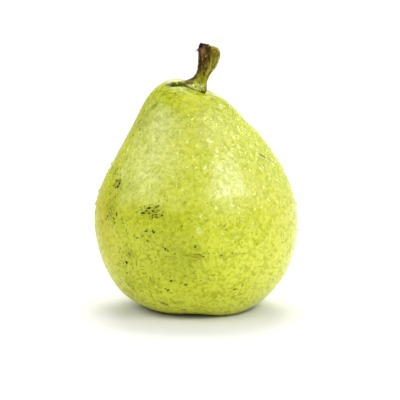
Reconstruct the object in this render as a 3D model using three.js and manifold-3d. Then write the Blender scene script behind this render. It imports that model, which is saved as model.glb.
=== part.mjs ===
// A green pear with its woody stem and the dried calyx at its blossom end.
// Units are millimetres and +Z is up. The origin is under the middle of the pear, level with the low
// lobes round the blossom end, which it stands on. The shoulder beside the stem rises towards -X.
import * as THREE from 'three';
import Module from 'manifold-3d';

// ---- Driving dimensions ----

// Points [x, z] that steer the outline of the fruit, up each side from the blossom end.
// The curve runs close to them, as a smooth spline that closes through both ends.
const RIGHT_SIDE = [
  [5.0, 5.0], [10.2, 1.8], [15.2, -0.8], [21.4, -0.5], [27.6, 4.6],
  [34.0, 13.0], [37.5, 23.0], [38.4, 35.4], [35.6, 46.9], [29.5, 57.1],
  [24.8, 64.0], [18.6, 69.9], [14.0, 75.0], [10.2, 79.2], [6.0, 80.6],
];
const LEFT_SIDE = [
  [-5.0, 5.0], [-10.2, 1.8], [-15.0, -0.8], [-20.8, -0.3], [-27.8, 4.9],
  [-33.2, 13.1], [-36.7, 23.2], [-38.4, 34.4], [-36.1, 45.4], [-30.4, 55.9],
  [-25.5, 65.0], [-21.5, 73.0], [-18.1, 80.5], [-11.0, 86.3], [-3.2, 86.4],
];
const BASIN_POINT = [0, 6.2];
const PIT_POINT = [2.2, 79.4];

// Five low lobes ring the basin, with shallow valleys between them. The lowest parts are pressed flat,
// and the lobe at the front left is a little short, so the pear stands on the other four.
const LOBES = 5;
const LOBE_STATION = 3.6;
const LOBE_SPREAD = 1.7;
const VALLEY_DEPTH = 0.8;
const SHORT_LOBE = { angle: -2.2, height: 1.0, sharpness: 4 };
const STANDING_HEIGHT = 0;

// The top surface starts between these two heights, and the crease and the collar are only on it.
const TOP = { from: 80, to: 83 };
// The russeted crease runs from the stem along the top of the high shoulder, and fades at each end.
const CREASE = { right: [1.5, -1.5], left: [-12, -8], y: -1.6, width: 1.5, depth: 1.3 };
// The collar is flesh that swells up in front of the stem's foot.
const COLLAR = { x: -2.2, y: -4.0, spread: 2.3, height: 1.3 };
// Gentle unevenness of a fruit that grew more on some sides than on others.
const SWELLS = [
  { waves: 2, phase: 0.6, station: 9.0, spread: 4.0, size: 0.35 },
  { waves: 3, phase: 2.1, station: 7.0, spread: 3.0, size: 0.30 },
  { waves: 3, phase: -0.8, station: 12.0, spread: 1.8, size: 0.35 },
];

// Points [x, z] up each side of the stem, from its foot to the place where it broke off the twig.
const STEM_RIGHT = [
  [3.6, 80.2], [3.9, 81.8], [3.7, 84.0], [4.4, 86.6], [6.0, 89.0],
  [7.9, 91.4], [8.8, 94.2], [9.1, 96.4], [8.3, 98.0],
];
const STEM_LEFT = [
  [-3.4, 84.4], [-3.1, 85.8], [-1.2, 87.2], [0.1, 88.8], [0.8, 91.0],
  [1.0, 93.4], [1.0, 95.8], [0.9, 97.8], [1.7, 99.0],
];
const STEM_FOOT = [0.2, 81.8];
const STEM_TOP = [4.4, 99.4];
const STEM_DEPTH = 0.84;
const FOOT_HALF_WIDTH = 4;
const RIBS = { count: 7, height: 0.16, twist: 0.25, foot: [1.5, 3], head: [9.2, 8] };

// Torn bark scales that stand up at the broken end.
const TORN_SCALES = { count: 9, height: 1.2, lean: 0.7, station: 8.8, spread: 0.9 };
const TORN_SIDE = [6.0, 2.5];

// The calyx: its top touches nothing, just under the basin's middle, and its tips droop below that.
const SEPALS = 5;
const SEPAL_LENGTH = 5.0;
const SEPAL_THICKNESS = 0.7;
const SEPAL_SHARPNESS = 1.5;
const SEPAL_DROOP = 2.6;
const CALYX_RADIUS = 1.7;
const CALYX_HEIGHT = 5.4;

// The gap between the stem's foot and the socket that it stands in.
const CLEARANCE = 0.3;

// Mesh fineness: columns round a piece and rows up it.
const FRUIT_MESH = { columns: 64, rows: 50 };
const STEM_MESH = { columns: 28, rows: 30 };
const CALYX_MESH = { columns: 50, rows: 6 };

// ---- Shared geometry ----

// A point on a closed uniform cubic B-spline: station 1 is nearest to control point 1, and so on.
function splinePoint(points, station) {
  const first = Math.floor(station);
  const t = station - first;
  const weights = [
    (1 - t) ** 3 / 6,
    (3 * t ** 3 - 6 * t ** 2 + 4) / 6,
    (-3 * t ** 3 + 3 * t ** 2 + 3 * t + 1) / 6,
    t ** 3 / 6,
  ];
  const sum = [0, 0];
  weights.forEach((weight, k) => {
    const index = (first - 1 + k + points.length) % points.length;
    sum[0] += weight * points[index][0];
    sum[1] += weight * points[index][1];
  });
  return sum;
}

// A smooth hump of height 1 at the centre, which fades out over the spread.
function hump(value, centre, spread) {
  return Math.exp(-(((value - centre) / spread) ** 2));
}

// An S-curve that rises from 0 at the first limit to 1 at the second.
function fade(value, [from, to]) {
  const t = Math.min(Math.max((value - from) / (to - from), 0), 1);
  return t * t * (3 - 2 * t);
}

// A closed surface from rings of points between a bottom and a top point.
function closedSkin(bottom, rings, top) {
  const columns = rings[0].length;
  const positions = [...bottom, ...rings.flat(2), ...top];
  const last = positions.length / 3 - 1;
  const faces = [];
  for (let j = 0; j < columns; j += 1) {
    const next = (j + 1) % columns;
    faces.push(0, 1 + next, 1 + j);
    for (let i = 0; i + 1 < rings.length; i += 1) {
      const row = 1 + i * columns;
      faces.push(row + j, row + next, row + columns + next);
      faces.push(row + j, row + columns + next, row + columns + j);
    }
    const lastRow = 1 + (rings.length - 1) * columns;
    faces.push(lastRow + j, lastRow + next, last);
  }
  const geometry = new THREE.BufferGeometry();
  geometry.setAttribute('position', new THREE.Float32BufferAttribute(positions, 3));
  geometry.setIndex(faces);
  geometry.computeVertexNormals();
  return geometry;
}

// A skin whose every ring spans between a left and a right outline that share their two end points.
// A ring is deep times as deep, front to back, as it is wide, and shape() then moves its points.
function outlinedSkin(ends, rightSide, leftSide, mesh, deep, shape) {
  const outline = [ends.bottom, ...rightSide, ends.top, ...[...leftSide].reverse()];
  const topStation = rightSide.length + 1;
  const ringPoint = (station, angle) => {
    const right = splinePoint(outline, station);
    const left = splinePoint(outline, outline.length - station);
    const half = [(right[0] - left[0]) / 2, (right[1] - left[1]) / 2];
    const x = (right[0] + left[0]) / 2 + half[0] * Math.cos(angle);
    const z = (right[1] + left[1]) / 2 + half[1] * Math.cos(angle);
    const y = Math.hypot(...half) * deep * Math.sin(angle);
    return shape([x, y, z], station, angle);
  };
  const rings = [];
  for (let i = 1; i < mesh.rows; i += 1) {
    const station = (topStation * i) / mesh.rows;
    const ring = [];
    for (let j = 0; j < mesh.columns; j += 1) {
      ring.push(ringPoint(station, (2 * Math.PI * j) / mesh.columns));
    }
    rings.push(ring);
  }
  return closedSkin(ringPoint(0, 0), rings, ringPoint(topStation, 0));
}

// ---- The fruit ----

function fruitShape([x, y, z], station, angle) {
  const valley = 0.5 - 0.5 * Math.cos(LOBES * (angle - Math.PI / 2));
  const short = (0.5 + 0.5 * Math.cos(angle - SHORT_LOBE.angle)) ** SHORT_LOBE.sharpness;
  const raised = VALLEY_DEPTH * valley + SHORT_LOBE.height * short;
  const lobes = raised * hump(station, LOBE_STATION, LOBE_SPREAD);

  let swell = 0;
  for (const { waves, phase, station: centre, spread, size } of SWELLS) {
    swell += size * Math.cos(waves * angle + phase) * hump(station, centre, spread);
  }

  const onTop = fade(z, [TOP.from, TOP.to]);
  const along = fade(x, CREASE.left) * fade(x, CREASE.right);
  const crease = CREASE.depth * hump(y, CREASE.y, CREASE.width) * along * onTop;
  const round = hump(x, COLLAR.x, COLLAR.spread) * hump(y, COLLAR.y, COLLAR.spread);
  const collar = COLLAR.height * round * onTop;

  return [
    x + swell * Math.cos(angle),
    y + swell * Math.sin(angle),
    Math.max(z + lobes - crease + collar, STANDING_HEIGHT),
  ];
}

function fruitSkin() {
  const ends = { bottom: BASIN_POINT, top: PIT_POINT };
  return outlinedSkin(ends, RIGHT_SIDE, LEFT_SIDE, FRUIT_MESH, 1, fruitShape);
}

// ---- The stem ----

// Low ribs run up the stem, and torn scales stand up round its broken end.
function stemShape([x, y, z], station, angle) {
  const shaft = fade(station, RIBS.foot) * fade(station, RIBS.head);
  const rib = RIBS.height * Math.cos(RIBS.count * angle + RIBS.twist * station) * shaft;
  const nearEnd = hump(station, TORN_SCALES.station, TORN_SCALES.spread);
  const torn = nearEnd * fade(x, TORN_SIDE) * Math.max(Math.cos(TORN_SCALES.count * angle), 0);
  const outward = rib + TORN_SCALES.lean * torn;
  return [x + outward * Math.cos(angle), y + outward * Math.sin(angle), z + TORN_SCALES.height * torn];
}

// The stem's skin, grown outwards all round by a gap where it serves as the tool for its socket.
function stemSkin(gap) {
  const wider = (points, side) => points.map(([x, z]) => [x + side * gap, z]);
  const ends = { bottom: [STEM_FOOT[0], STEM_FOOT[1] - gap], top: STEM_TOP };
  const deep = STEM_DEPTH * (1 + gap / FOOT_HALF_WIDTH);
  return outlinedSkin(ends, wider(STEM_RIGHT, 1), wider(STEM_LEFT, -1), STEM_MESH, deep, stemShape);
}

// ---- The calyx ----

// A small five-pointed star of dried sepals in the basin, with its tips curling away from the flesh.
function calyxSkin() {
  const ring = (reach, under) => {
    const points = [];
    for (let j = 0; j < CALYX_MESH.columns; j += 1) {
      const angle = (2 * Math.PI * j) / CALYX_MESH.columns;
      const across = Math.abs(((angle * SEPALS) / (2 * Math.PI) + 0.5) % 1 - 0.5) * 2;
      const point = (1 - across) ** SEPAL_SHARPNESS;
      const radius = reach * (CALYX_RADIUS + (SEPAL_LENGTH - CALYX_RADIUS) * point);
      const droop = SEPAL_DROOP * (radius / SEPAL_LENGTH) ** 2;
      const thickness = under * SEPAL_THICKNESS;
      points.push([radius * Math.cos(angle), radius * Math.sin(angle), CALYX_HEIGHT - droop - thickness]);
    }
    return points;
  };
  const rings = [];
  for (let i = 1; i <= CALYX_MESH.rows; i += 1) {
    rings.push(ring(i / CALYX_MESH.rows, 1));
  }
  for (let i = CALYX_MESH.rows; i >= 1; i -= 1) {
    rings.push(ring(i / CALYX_MESH.rows, 0));
  }
  return closedSkin([0, 0, CALYX_HEIGHT - SEPAL_THICKNESS], rings, [0, 0, CALYX_HEIGHT]);
}

// ---- The stem's socket, cut from the fruit ----

const wasm = await Module();
wasm.setup();

function toSolid(geometry) {
  const vertProperties = Float32Array.from(geometry.attributes.position.array);
  const triVerts = Uint32Array.from(geometry.index.array);
  return new wasm.Manifold(new wasm.Mesh({ numProp: 3, vertProperties, triVerts }));
}

function toGeometry(solid) {
  const mesh = solid.getMesh();
  const geometry = new THREE.BufferGeometry();
  geometry.setAttribute('position', new THREE.BufferAttribute(mesh.vertProperties, 3));
  geometry.setIndex(new THREE.BufferAttribute(mesh.triVerts, 1));
  geometry.computeVertexNormals();
  return geometry;
}

// ---- The pear ----

function piece(name, geometry, colour, roughness) {
  const material = new THREE.MeshStandardMaterial({ color: colour, roughness, metalness: 0 });
  const mesh = new THREE.Mesh(geometry, material);
  mesh.name = name;
  return mesh;
}

const fruit = toGeometry(toSolid(fruitSkin()).subtract(toSolid(stemSkin(CLEARANCE))));

const pear = new THREE.Group();
pear.add(piece('fruit', fruit, 0xc9d24b, 0.42));
pear.add(piece('stem', stemSkin(0), 0x7a6a28, 0.7));
pear.add(piece('calyx', calyxSkin(), 0x3f2d18, 0.85));

// The swells push the outline a little off centre, so the pear is set back over the origin.
const middle = new THREE.Box3().setFromObject(pear).getCenter(new THREE.Vector3());
pear.position.set(-middle.x, -middle.y, 0);

const part = new THREE.Group();
part.add(pear);

export default part;
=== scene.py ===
# %% [markdown]
# # A green pear with water drops
# A pear is a soft, lopsided solid with a waxy skin, a short woody stem on top and the dried rest of
# the flower underneath. The lesson builds its skin, stem, calyx and a scatter of water drops as
# surfaces worked out with numpy, gives each a procedural finish, and lights them on a white sweep.
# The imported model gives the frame: every piece stays where that model has it, in metres.

# %% Load the frame
import math

import bpy
import numpy as np
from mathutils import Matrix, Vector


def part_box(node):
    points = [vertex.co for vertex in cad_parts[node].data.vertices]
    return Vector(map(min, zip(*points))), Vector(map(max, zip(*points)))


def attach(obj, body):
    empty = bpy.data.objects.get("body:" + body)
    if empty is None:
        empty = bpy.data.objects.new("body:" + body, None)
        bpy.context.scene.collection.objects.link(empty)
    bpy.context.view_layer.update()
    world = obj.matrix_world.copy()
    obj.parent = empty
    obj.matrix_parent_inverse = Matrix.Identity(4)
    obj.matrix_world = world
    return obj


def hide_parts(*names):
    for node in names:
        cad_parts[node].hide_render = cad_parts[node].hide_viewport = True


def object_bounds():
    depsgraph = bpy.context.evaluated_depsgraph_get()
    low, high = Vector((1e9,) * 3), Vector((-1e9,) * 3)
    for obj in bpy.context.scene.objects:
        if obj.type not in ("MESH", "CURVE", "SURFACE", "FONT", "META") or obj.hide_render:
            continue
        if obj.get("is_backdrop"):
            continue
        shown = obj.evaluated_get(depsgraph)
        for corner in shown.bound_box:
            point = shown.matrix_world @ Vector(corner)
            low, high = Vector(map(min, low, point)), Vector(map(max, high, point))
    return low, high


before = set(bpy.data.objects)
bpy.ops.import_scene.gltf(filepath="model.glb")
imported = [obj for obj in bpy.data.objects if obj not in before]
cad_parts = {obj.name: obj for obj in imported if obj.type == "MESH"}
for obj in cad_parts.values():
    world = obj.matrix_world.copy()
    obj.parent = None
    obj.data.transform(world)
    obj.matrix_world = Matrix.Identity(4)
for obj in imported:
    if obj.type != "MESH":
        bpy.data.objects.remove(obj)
cad_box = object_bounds()
MM = 0.001
fruit_low, fruit_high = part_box("fruit")
print("fruit from", [round(v / MM, 1) for v in fruit_low], "to", [round(v / MM, 1) for v in fruit_high])

# %% [markdown]
# ## The camera
# The pear is seen from the front and a little above, through a long lens, so its sides hardly
# converge. The camera comes first, because later cells place marks and drops by where they are seen.
# The lens follows from three facts: the distance, the size of the view and the sensor's width.

# %% Camera
PICTURE = 400
ELEMENT = 0.3753 * MM
DISTANCE = 0.70
ELEVATION = math.radians(9)
AIM = np.array([1.5, 0.0, 40.6]) * MM

looking = np.array([0, math.cos(ELEVATION), -math.sin(ELEVATION)])
camera_data = bpy.data.cameras.new("camera")
camera_data.lens = camera_data.sensor_width * DISTANCE / (PICTURE * ELEMENT)
camera = bpy.data.objects.new("camera", camera_data)
camera.location = AIM - looking * DISTANCE
camera.rotation_euler = (math.pi / 2 - ELEVATION, 0, 0)
bpy.context.collection.objects.link(camera)
bpy.context.scene.camera = camera
print("lens", round(camera_data.lens, 1), "mm")

# %% [markdown]
# Later cells place marks, patches and drops by where they are seen, because that is how an eye finds
# them. For that, a helper turns places in metres into picture elements.

# %% From places to the picture
def to_picture(points):
    """Where points are seen, in picture elements from the top left corner.

    A point's offsets across and up from the camera's axis shrink by its depth along that axis.
    """
    across = np.array([1.0, 0.0, 0.0])
    up = np.cross(across, looking)
    away = points - np.array(camera.location)
    zoom = DISTANCE / ELEMENT / (away @ looking)
    return np.stack([PICTURE / 2 + zoom * (away @ across), PICTURE / 2 - zoom * (away @ up)], -1)


print("the camera aims at the picture's", to_picture(AIM))

# %% [markdown]
# ## Surfaces between two outlines
# A pear isn't turned on a lathe: one shoulder is higher than the other. So the form is steered by
# two outlines, up the left and up the right side, and every ring spans between them like a tilted
# hoop. Each outline is a smooth spline that only a few points pull into shape.

# %% A steered outline
def spline(points, station):
    """A closed uniform cubic B-spline.

    With t the part of the station past a whole number, the place is a blend of the four points round
    it with the weights (1-t)^3, 3t^3-6t^2+4, -3t^3+3t^2+3t+1 and t^3, all divided by 6.
    """
    points = np.asarray(points, float)
    first = np.floor(station).astype(int)
    t = (station - first)[..., None]
    weights = ((1 - t) ** 3, 3 * t**3 - 6 * t**2 + 4, -3 * t**3 + 3 * t**2 + 3 * t + 1, t**3)
    return sum(w * points[(first + k - 1) % len(points)] for k, w in enumerate(weights)) / 6


SQUARE = [(0, 0), (1, 0), (1, 1), (0, 1)]
print("an outline steered by a square starts at", spline(SQUARE, np.array([0.0]))[0].round(3))

# %% [markdown]
# Whatever is local on the pear, a swelling, a dip or a stain, is kept in its place by humps and fades.
# A hump is strongest at one value and dies away on both sides, and a fade passes from 0 to 1.

# %% Humps and fades
def hump(value, centre, spread):
    """exp(-((value - centre) / spread)^2): 1 at the centre, fading to nothing."""
    return np.exp(-(((value - centre) / spread) ** 2))


def fade(value, start, end):
    """An S-curve, 3t^2-2t^3, that rises from 0 at the start to 1 at the end."""
    t = np.clip((value - start) / (end - start), 0, 1)
    return t * t * (3 - 2 * t)


print("one spread from its centre a hump is", hump(1.0, 0.0, 1.0).round(2))
print("half way, a fade is", fade(0.5, 0, 1))

# %% [markdown]
# The form itself is a stack of hoops, one at each station along the outlines. Each hoop leans as far
# as the two outlines differ in height there, which gives the top its tilt without any bending.

# %% Hoops between the outlines
def hoops(bottom, right_side, top, left_side, rows, columns, deep):
    """Rings of points between two outlines, from the bottom point to the top point.

    With R and L the outlines' points at one station, M = (R+L)/2 and H = (R-L)/2, a ring's point is
    (M + H cos(angle)) across and up, and |H| deep sin(angle) in depth.
    """
    outline = [bottom, *right_side, top, *left_side[::-1]]
    station = np.linspace(0, len(right_side) + 1, rows)
    right = spline(outline, station)
    left = spline(outline, (len(outline) - station) % len(outline))
    middle, half = (right + left) / 2, (right - left) / 2
    angle = np.arange(columns) * 2 * np.pi / columns
    flat = middle[:, None] + half[:, None] * np.cos(angle)[:, None]
    depth = np.hypot(*half.T)[:, None] * deep * np.sin(angle)
    return np.stack([flat[..., 0], depth, flat[..., 1]], -1), station[:, None], angle[None, :]


ball, _, _ = hoops((0, -1), [(1, 0)], (0, 1), [(-1, 0)], rows=9, columns=8, deep=1)
print("a form steered by four points is", np.ptp(ball[..., 0]).round(2), "across")

# %% [markdown]
# A closed piece is rings of points with one single point at each end. Fans of triangles close the
# ends and quads fill the rest. Fibres and drops are many such pieces in one mesh, so the helper
# makes any number of them at once.

# %% From rings to a mesh
def ring_points(rings):
    """The points of closed pieces: for each, the first ring's point, the rings between, the last's."""
    inner = rings[:, 1:-1].reshape(len(rings), -1, 3)
    return np.concatenate([rings[:, :1, 0], inner, rings[:, -1:, 0]], 1).reshape(-1, 3)


def ring_faces(rows, columns, count=1, first=0):
    """Quads and end fans of closed pieces with the same rings, numbered on from the first point."""
    inner = rows - 2
    here = 1 + np.arange(inner * columns).reshape(inner, columns)
    beside = np.roll(here, -1, axis=1)
    quads = np.stack([here[:-1], beside[:-1], beside[1:], here[1:]], -1).reshape(-1, 4)
    low = np.stack([np.zeros(columns, int), beside[0], here[0]], -1)
    high = np.stack([here[-1], beside[-1], np.full(columns, 1 + inner * columns)], -1)
    shift = first + (np.arange(count) * (2 + inner * columns))[:, None, None]
    fans = (np.concatenate([low, high])[None] + shift).reshape(-1, 3)
    return (quads[None] + shift).reshape(-1, 4).tolist() + fans.tolist()


def new_piece(name, points, faces):
    """A smooth mesh, placed in the scene at the origin."""
    mesh = bpy.data.meshes.new(name)
    mesh.from_pydata(points.tolist(), [], faces)
    mesh.shade_smooth()
    piece = bpy.data.objects.new(name, mesh)
    bpy.context.collection.objects.link(piece)
    print(name, "has", len(mesh.polygons), "faces")
    return piece


def closed_piece(name, rings):
    """One piece whose first and last ring each shrink to a point."""
    return new_piece(name, ring_points(rings[None]), ring_faces(*rings.shape[:2]))


print("9 rings of 8 points make", len(ring_faces(9, 8)), "faces")

# %% [markdown]
# A finish often has to know where it is on a piece: up the stem, in a hollow, under a stain. Such
# masks are worked out on the rings, stored in the mesh as numbers, and read by the material by name.

# %% Numbers stored on a piece
def ring_values(values):
    """Values on rings in the order of a closed piece's points: bottom, the rings between, top."""
    return np.concatenate([values[0, :1], values[1:-1].reshape(-1), values[-1, :1]])


def add_field(piece, name, values):
    """Stores one number for each point, which a material can read by name."""
    stored = piece.data.attributes.new(name, "FLOAT", "POINT")
    stored.data.foreach_set("value", values.astype(np.float32))


def add_ring_fields(piece, **fields):
    """Stores masks that are given on the rings, each under its own name."""
    for name, values in fields.items():
        add_field(piece, name, ring_values(values))
    print(piece.name, "stores", *fields)


print("9 rings of 8 points hold", len(ring_values(np.zeros((9, 8)))), "numbers")

# %% [markdown]
# Nothing that grew is quite even. A sum of many plane waves with random ways and lengths gives a
# smooth unevenness that has no seam, because it depends only on the place.

# %% Waves
def waves(points, shortest, longest, count, seed):
    """Smooth random relief, mostly from -1 to 1.

    It is the sum of n plane waves, cos(2 pi k.p / length + phase), divided by the root of 2n.
    """
    draw = np.random.default_rng(seed)
    ways = draw.normal(size=(count, 3))
    ways /= np.linalg.norm(ways, axis=1)[:, None]
    length = np.exp(draw.uniform(np.log(shortest), np.log(longest), count))
    phase = draw.uniform(0, 2 * np.pi, count)
    turns = points.reshape(-1, 3) @ (ways / length[:, None]).T * 2 * np.pi + phase
    return np.cos(turns).sum(1).reshape(points.shape[:-1]) * (2 / count) ** 0.5 / 2


print("waves at one place:", waves(np.zeros((1, 3)), 5, 16, 60, seed=3).round(2)[0])

# %% [markdown]
# ## The fruit's form
# The form is steered by fifteen points a side, in millimetres, from the flower's basin up to the pit
# of the stem. The outlines, the lobes and the swells repeat the solid's. The folds on top don't: there
# the solid is simpler, and even swells a little where the real flesh dips.

# %% The fruit's outlines
RIGHT_SIDE = [
    (5.0, 5.0), (10.2, 1.8), (15.2, -0.8), (21.4, -0.5), (27.6, 4.6),
    (34.0, 13.0), (37.5, 23.0), (38.4, 35.4), (35.6, 46.9), (29.5, 57.1),
    (24.8, 64.0), (18.6, 69.9), (14.0, 75.0), (10.2, 79.2), (6.0, 80.6),
]
LEFT_SIDE = [
    (-5.0, 5.0), (-10.2, 1.8), (-15.0, -0.8), (-20.8, -0.3), (-27.8, 4.9),
    (-33.2, 13.1), (-36.7, 23.2), (-38.4, 34.4), (-36.1, 45.4), (-30.4, 55.9),
    (-25.5, 65.0), (-21.5, 73.0), (-18.1, 80.5), (-11.0, 86.3), (-3.2, 86.4),
]
BASIN_POINT = (0, 6.2)
PIT_POINT = (2.2, 79.4)
FRUIT_ROWS, FRUIT_COLUMNS = 250, 300

rings, station, angle = hoops(BASIN_POINT, RIGHT_SIDE, PIT_POINT, LEFT_SIDE, FRUIT_ROWS, FRUIT_COLUMNS, 1)
x, y, z = np.moveaxis(rings, -1, 0)
print("the outlines reach", z.max().round(1), "mm up")

# %% [markdown]
# Five low lobes ring the flower's basin, and one is shorter, as a fruit rarely stands straight. Broad
# swells with two or three waves round the fruit keep the belly from being a perfect round.

# %% Lobes and swells
LOBES, LOBE_STATION, LOBE_SPREAD, VALLEY_DEPTH = 5, 3.6, 1.7, 0.8
SHORT_LOBE_ANGLE, SHORT_LOBE_HEIGHT, SHORT_LOBE_SHARPNESS = -2.2, 1.0, 4
valley = 0.5 - 0.5 * np.cos(LOBES * (angle - np.pi / 2))
short = (0.5 + 0.5 * np.cos(angle - SHORT_LOBE_ANGLE)) ** SHORT_LOBE_SHARPNESS
lobes = (VALLEY_DEPTH * valley + SHORT_LOBE_HEIGHT * short) * hump(station, LOBE_STATION, LOBE_SPREAD)

# Each swell has a number of waves round the fruit, a phase, a station, a spread and a size.
SWELLS = [(2, 0.6, 9.0, 4.0, 0.35), (3, 2.1, 7.0, 3.0, 0.30), (3, -0.8, 12.0, 1.8, 0.35)]
swell = sum(
    size * np.cos(count * angle + phase) * hump(station, centre, spread)
    for count, phase, centre, spread, size in SWELLS
)
print("the swells stand out by up to", swell.max().round(2), "mm")

# %% [markdown]
# Round the stem the flesh folds. A crease runs from the stem along the high shoulder, the flesh dips
# in front of the stem, and the front edge of the shoulder is a touch lower.

# %% The top's relief
ON_TOP = (77, 80)
on_top = fade(z, *ON_TOP)


def along_path(path, width):
    """A mask along a path across the top: exp(-(d / width)^2) for the distance d to its nearest part.

    The path is in millimetres across and in depth, and the mask is worked out on the fruit's rings.
    """
    path = np.array(path, float)
    starts, steps = path[:-1], np.diff(path, axis=0)
    offset = rings[..., None, :2] - starts
    share = np.clip((offset * steps).sum(-1) / (steps**2).sum(-1), 0, 1)
    distance = np.linalg.norm(offset - share[..., None] * steps, axis=-1).min(-1)
    return np.exp(-((distance / width) ** 2))


CREASE_PATH = [
    (-12.4, -4.6), (-10.8, -5.4), (-9.2, -5.9), (-7.6, -5.7), (-5.8, -4.9), (-4.0, -3.6), (-1.5, -3.0)]
CREASE_WIDTH, CREASE_DEPTH, CREASE_START = 1.15, 1.2, (-11.5, -7.5)
DIP_X, DIP_Y, DIP_WIDTH, DIP_BACK, DIP_FRONT, DIP_DEPTH = -1.0, -6.8, 4.4, 2.7, 3.8, 2.4
EDGE_ACROSS, EDGE_BACK, EDGE_DEPTH = (-8.0, 3.5), (-7.5, 2.5), 0.3
crease = along_path(CREASE_PATH, CREASE_WIDTH) * on_top * fade(x, *CREASE_START)
dip = hump(x, DIP_X, DIP_WIDTH) * hump(y, DIP_Y, np.where(y > DIP_Y, DIP_BACK, DIP_FRONT)) * on_top
front_edge = hump(x, *EDGE_ACROSS) * hump(y, *EDGE_BACK) * on_top
relief = -CREASE_DEPTH * crease - DIP_DEPTH * dip - EDGE_DEPTH * front_edge
print("the top dips by up to", -relief.min().round(2), "mm")

# %% [markdown]
# The parts add up here. The lowest parts of the lobes are pressed flat where the fruit stands. A
# faint waviness goes on top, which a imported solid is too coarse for. At last the fruit is moved
# sideways to stand exactly where the solid does.

# %% The fruit's skin
SKIN_WAVES, WAVES_START = 0.10, (1.0, 6.0)
faint = SKIN_WAVES * waves(rings, 5, 16, 60, seed=3) * fade(z, *WAVES_START)
out = swell + faint
form = np.stack([
    x + out * np.cos(angle),
    y + out * np.sin(angle),
    np.maximum(z + lobes + relief, 0),
], -1)
middle = (form.reshape(-1, 3).max(0) + form.reshape(-1, 3).min(0)) / 2
centring = (np.array((fruit_low + fruit_high) / 2) / MM - middle)[:2]
form[..., :2] += centring
fruit_points = form * MM

skin = closed_piece("pear_skin", fruit_points)
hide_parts("fruit")
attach(skin, "root")

# %% [markdown]
# The folds differ in colour as well. Painted shade darkens the crease in short knots, the flesh by the
# stem's root is olive with painted shade over it, and painted highlights make the skin behind the
# crease and on the far shoulder pale. Every one of these masks ends on top, so none shows from below.

# %% Masks round the stem
KNOT_LENGTH, CREASE_STAIN_WIDTH, CREASE_STAIN_START = 2.3, 1.45, (-13.4, -9.2)
# The crease is painted dark: a painted shade along a path just behind the groove.
stain_path = [(across, deep + 0.15) for across, deep in CREASE_PATH]
knots = 0.87 + 0.13 * np.cos(2 * np.pi * (x + 6.0) / KNOT_LENGTH + 0.8 * np.sin(x))
stain = along_path(stain_path, CREASE_STAIN_WIDTH) * on_top * fade(x, *CREASE_STAIN_START) * knots
add_ring_fields(
    skin,
    crease=stain,
    # The root's olive is partly painted shade on the brightly lit flesh in front of the stem.
    root=hump(x, -3.2, 5.4) * hump(y, -6.6, 3.0) * on_top,
    # The pale skin behind the crease and on the far shoulder is a painted highlight.
    behind=hump(x, -8.0, 5.0) * hump(y, -2.4, 2.0) * on_top * (1 - along_path(stain_path, 1.4)),
    far_shoulder=hump(x, 8.5, 5.0) * hump(y, -0.6, 2.4) * on_top,
)

# %% [markdown]
# ## The stem's form
# The stem is woody and thick like a club where it broke off the twig. It is made as the fruit is,
# from two outlines. They follow the solid's but for two things: the foot spreads farther over the
# high shoulder, and the top is a little lower, so that the teeth and fibres end at the solid's height.

# %% The stem's outlines
STEM_RIGHT = [
    (3.6, 80.2), (3.9, 81.8), (3.7, 84.0), (4.4, 86.6), (6.0, 89.0),
    (7.9, 91.4), (8.8, 94.2), (9.1, 96.4), (8.3, 98.0),
]
STEM_LEFT = [
    (-6.4, 84.5), (-4.5, 85.5), (-1.2, 86.5), (0.3, 88.4), (0.9, 91.0),
    (1.0, 93.4), (1.0, 95.8), (0.9, 97.8), (1.7, 99.0),
]
STEM_FOOT, STEM_TOP, STEM_DEPTH = (0.2, 81.8), (4.4, 98.8), 0.84
STEM_ROWS, STEM_COLUMNS = 220, 160

rings, station, angle = hoops(
    STEM_FOOT, STEM_RIGHT, STEM_TOP, STEM_LEFT, STEM_ROWS, STEM_COLUMNS, STEM_DEPTH)
x, y, z = np.moveaxis(rings, -1, 0)
print("the stem's outlines run from", z.min().round(1), "to", z.max().round(1), "mm up")

# %% [markdown]
# Low ribs twist up the shaft, and dry bark is wrinkled lengthways: its wrinkles are waves in a space
# squeezed to a sixth along the height, so they come out six times as long as wide. Torn teeth of
# wood stand up and lean out at the broken end.

# %% Ribs, wrinkles and teeth
RIBS, RIB_HEIGHT, RIB_TWIST = 7, 0.16, 0.25
WRINKLE_HEIGHT, KNOB_HEIGHT = 0.14, 0.07
TORN_COUNT, TORN_HEIGHT, TORN_LEAN, TORN_STATION, TORN_SPREAD = 9, 0.8, 0.7, 8.8, 0.9
SQUEEZE = 0.16
shaft = fade(station, 1.5, 3) * fade(station, 9.2, 8)
rib = RIB_HEIGHT * np.cos(RIBS * angle + RIB_TWIST * station) * shaft
torn = hump(station, TORN_STATION, TORN_SPREAD) * np.maximum(np.cos(TORN_COUNT * angle), 0)
torn = torn * fade(x, 6.0, 2.5) * (0.3 + 0.7 * fade(x, 0.8, 2.4))
buried = fade(station, 0.5, 2)
wrinkle = WRINKLE_HEIGHT * waves(rings * np.array([1, 1, SQUEEZE]), 0.7, 2.4, 50, seed=5) * buried
knobs = KNOB_HEIGHT * waves(rings, 0.8, 2.5, 50, seed=6) * buried
relief = rib + wrinkle + knobs
out = relief + TORN_LEAN * torn
form = np.stack([x + out * np.cos(angle), y + out * np.sin(angle), z + TORN_HEIGHT * torn], -1)
form[..., :2] += centring

stem = closed_piece("stem_bark", form * MM)
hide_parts("stem")
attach(stem, "root")
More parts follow.
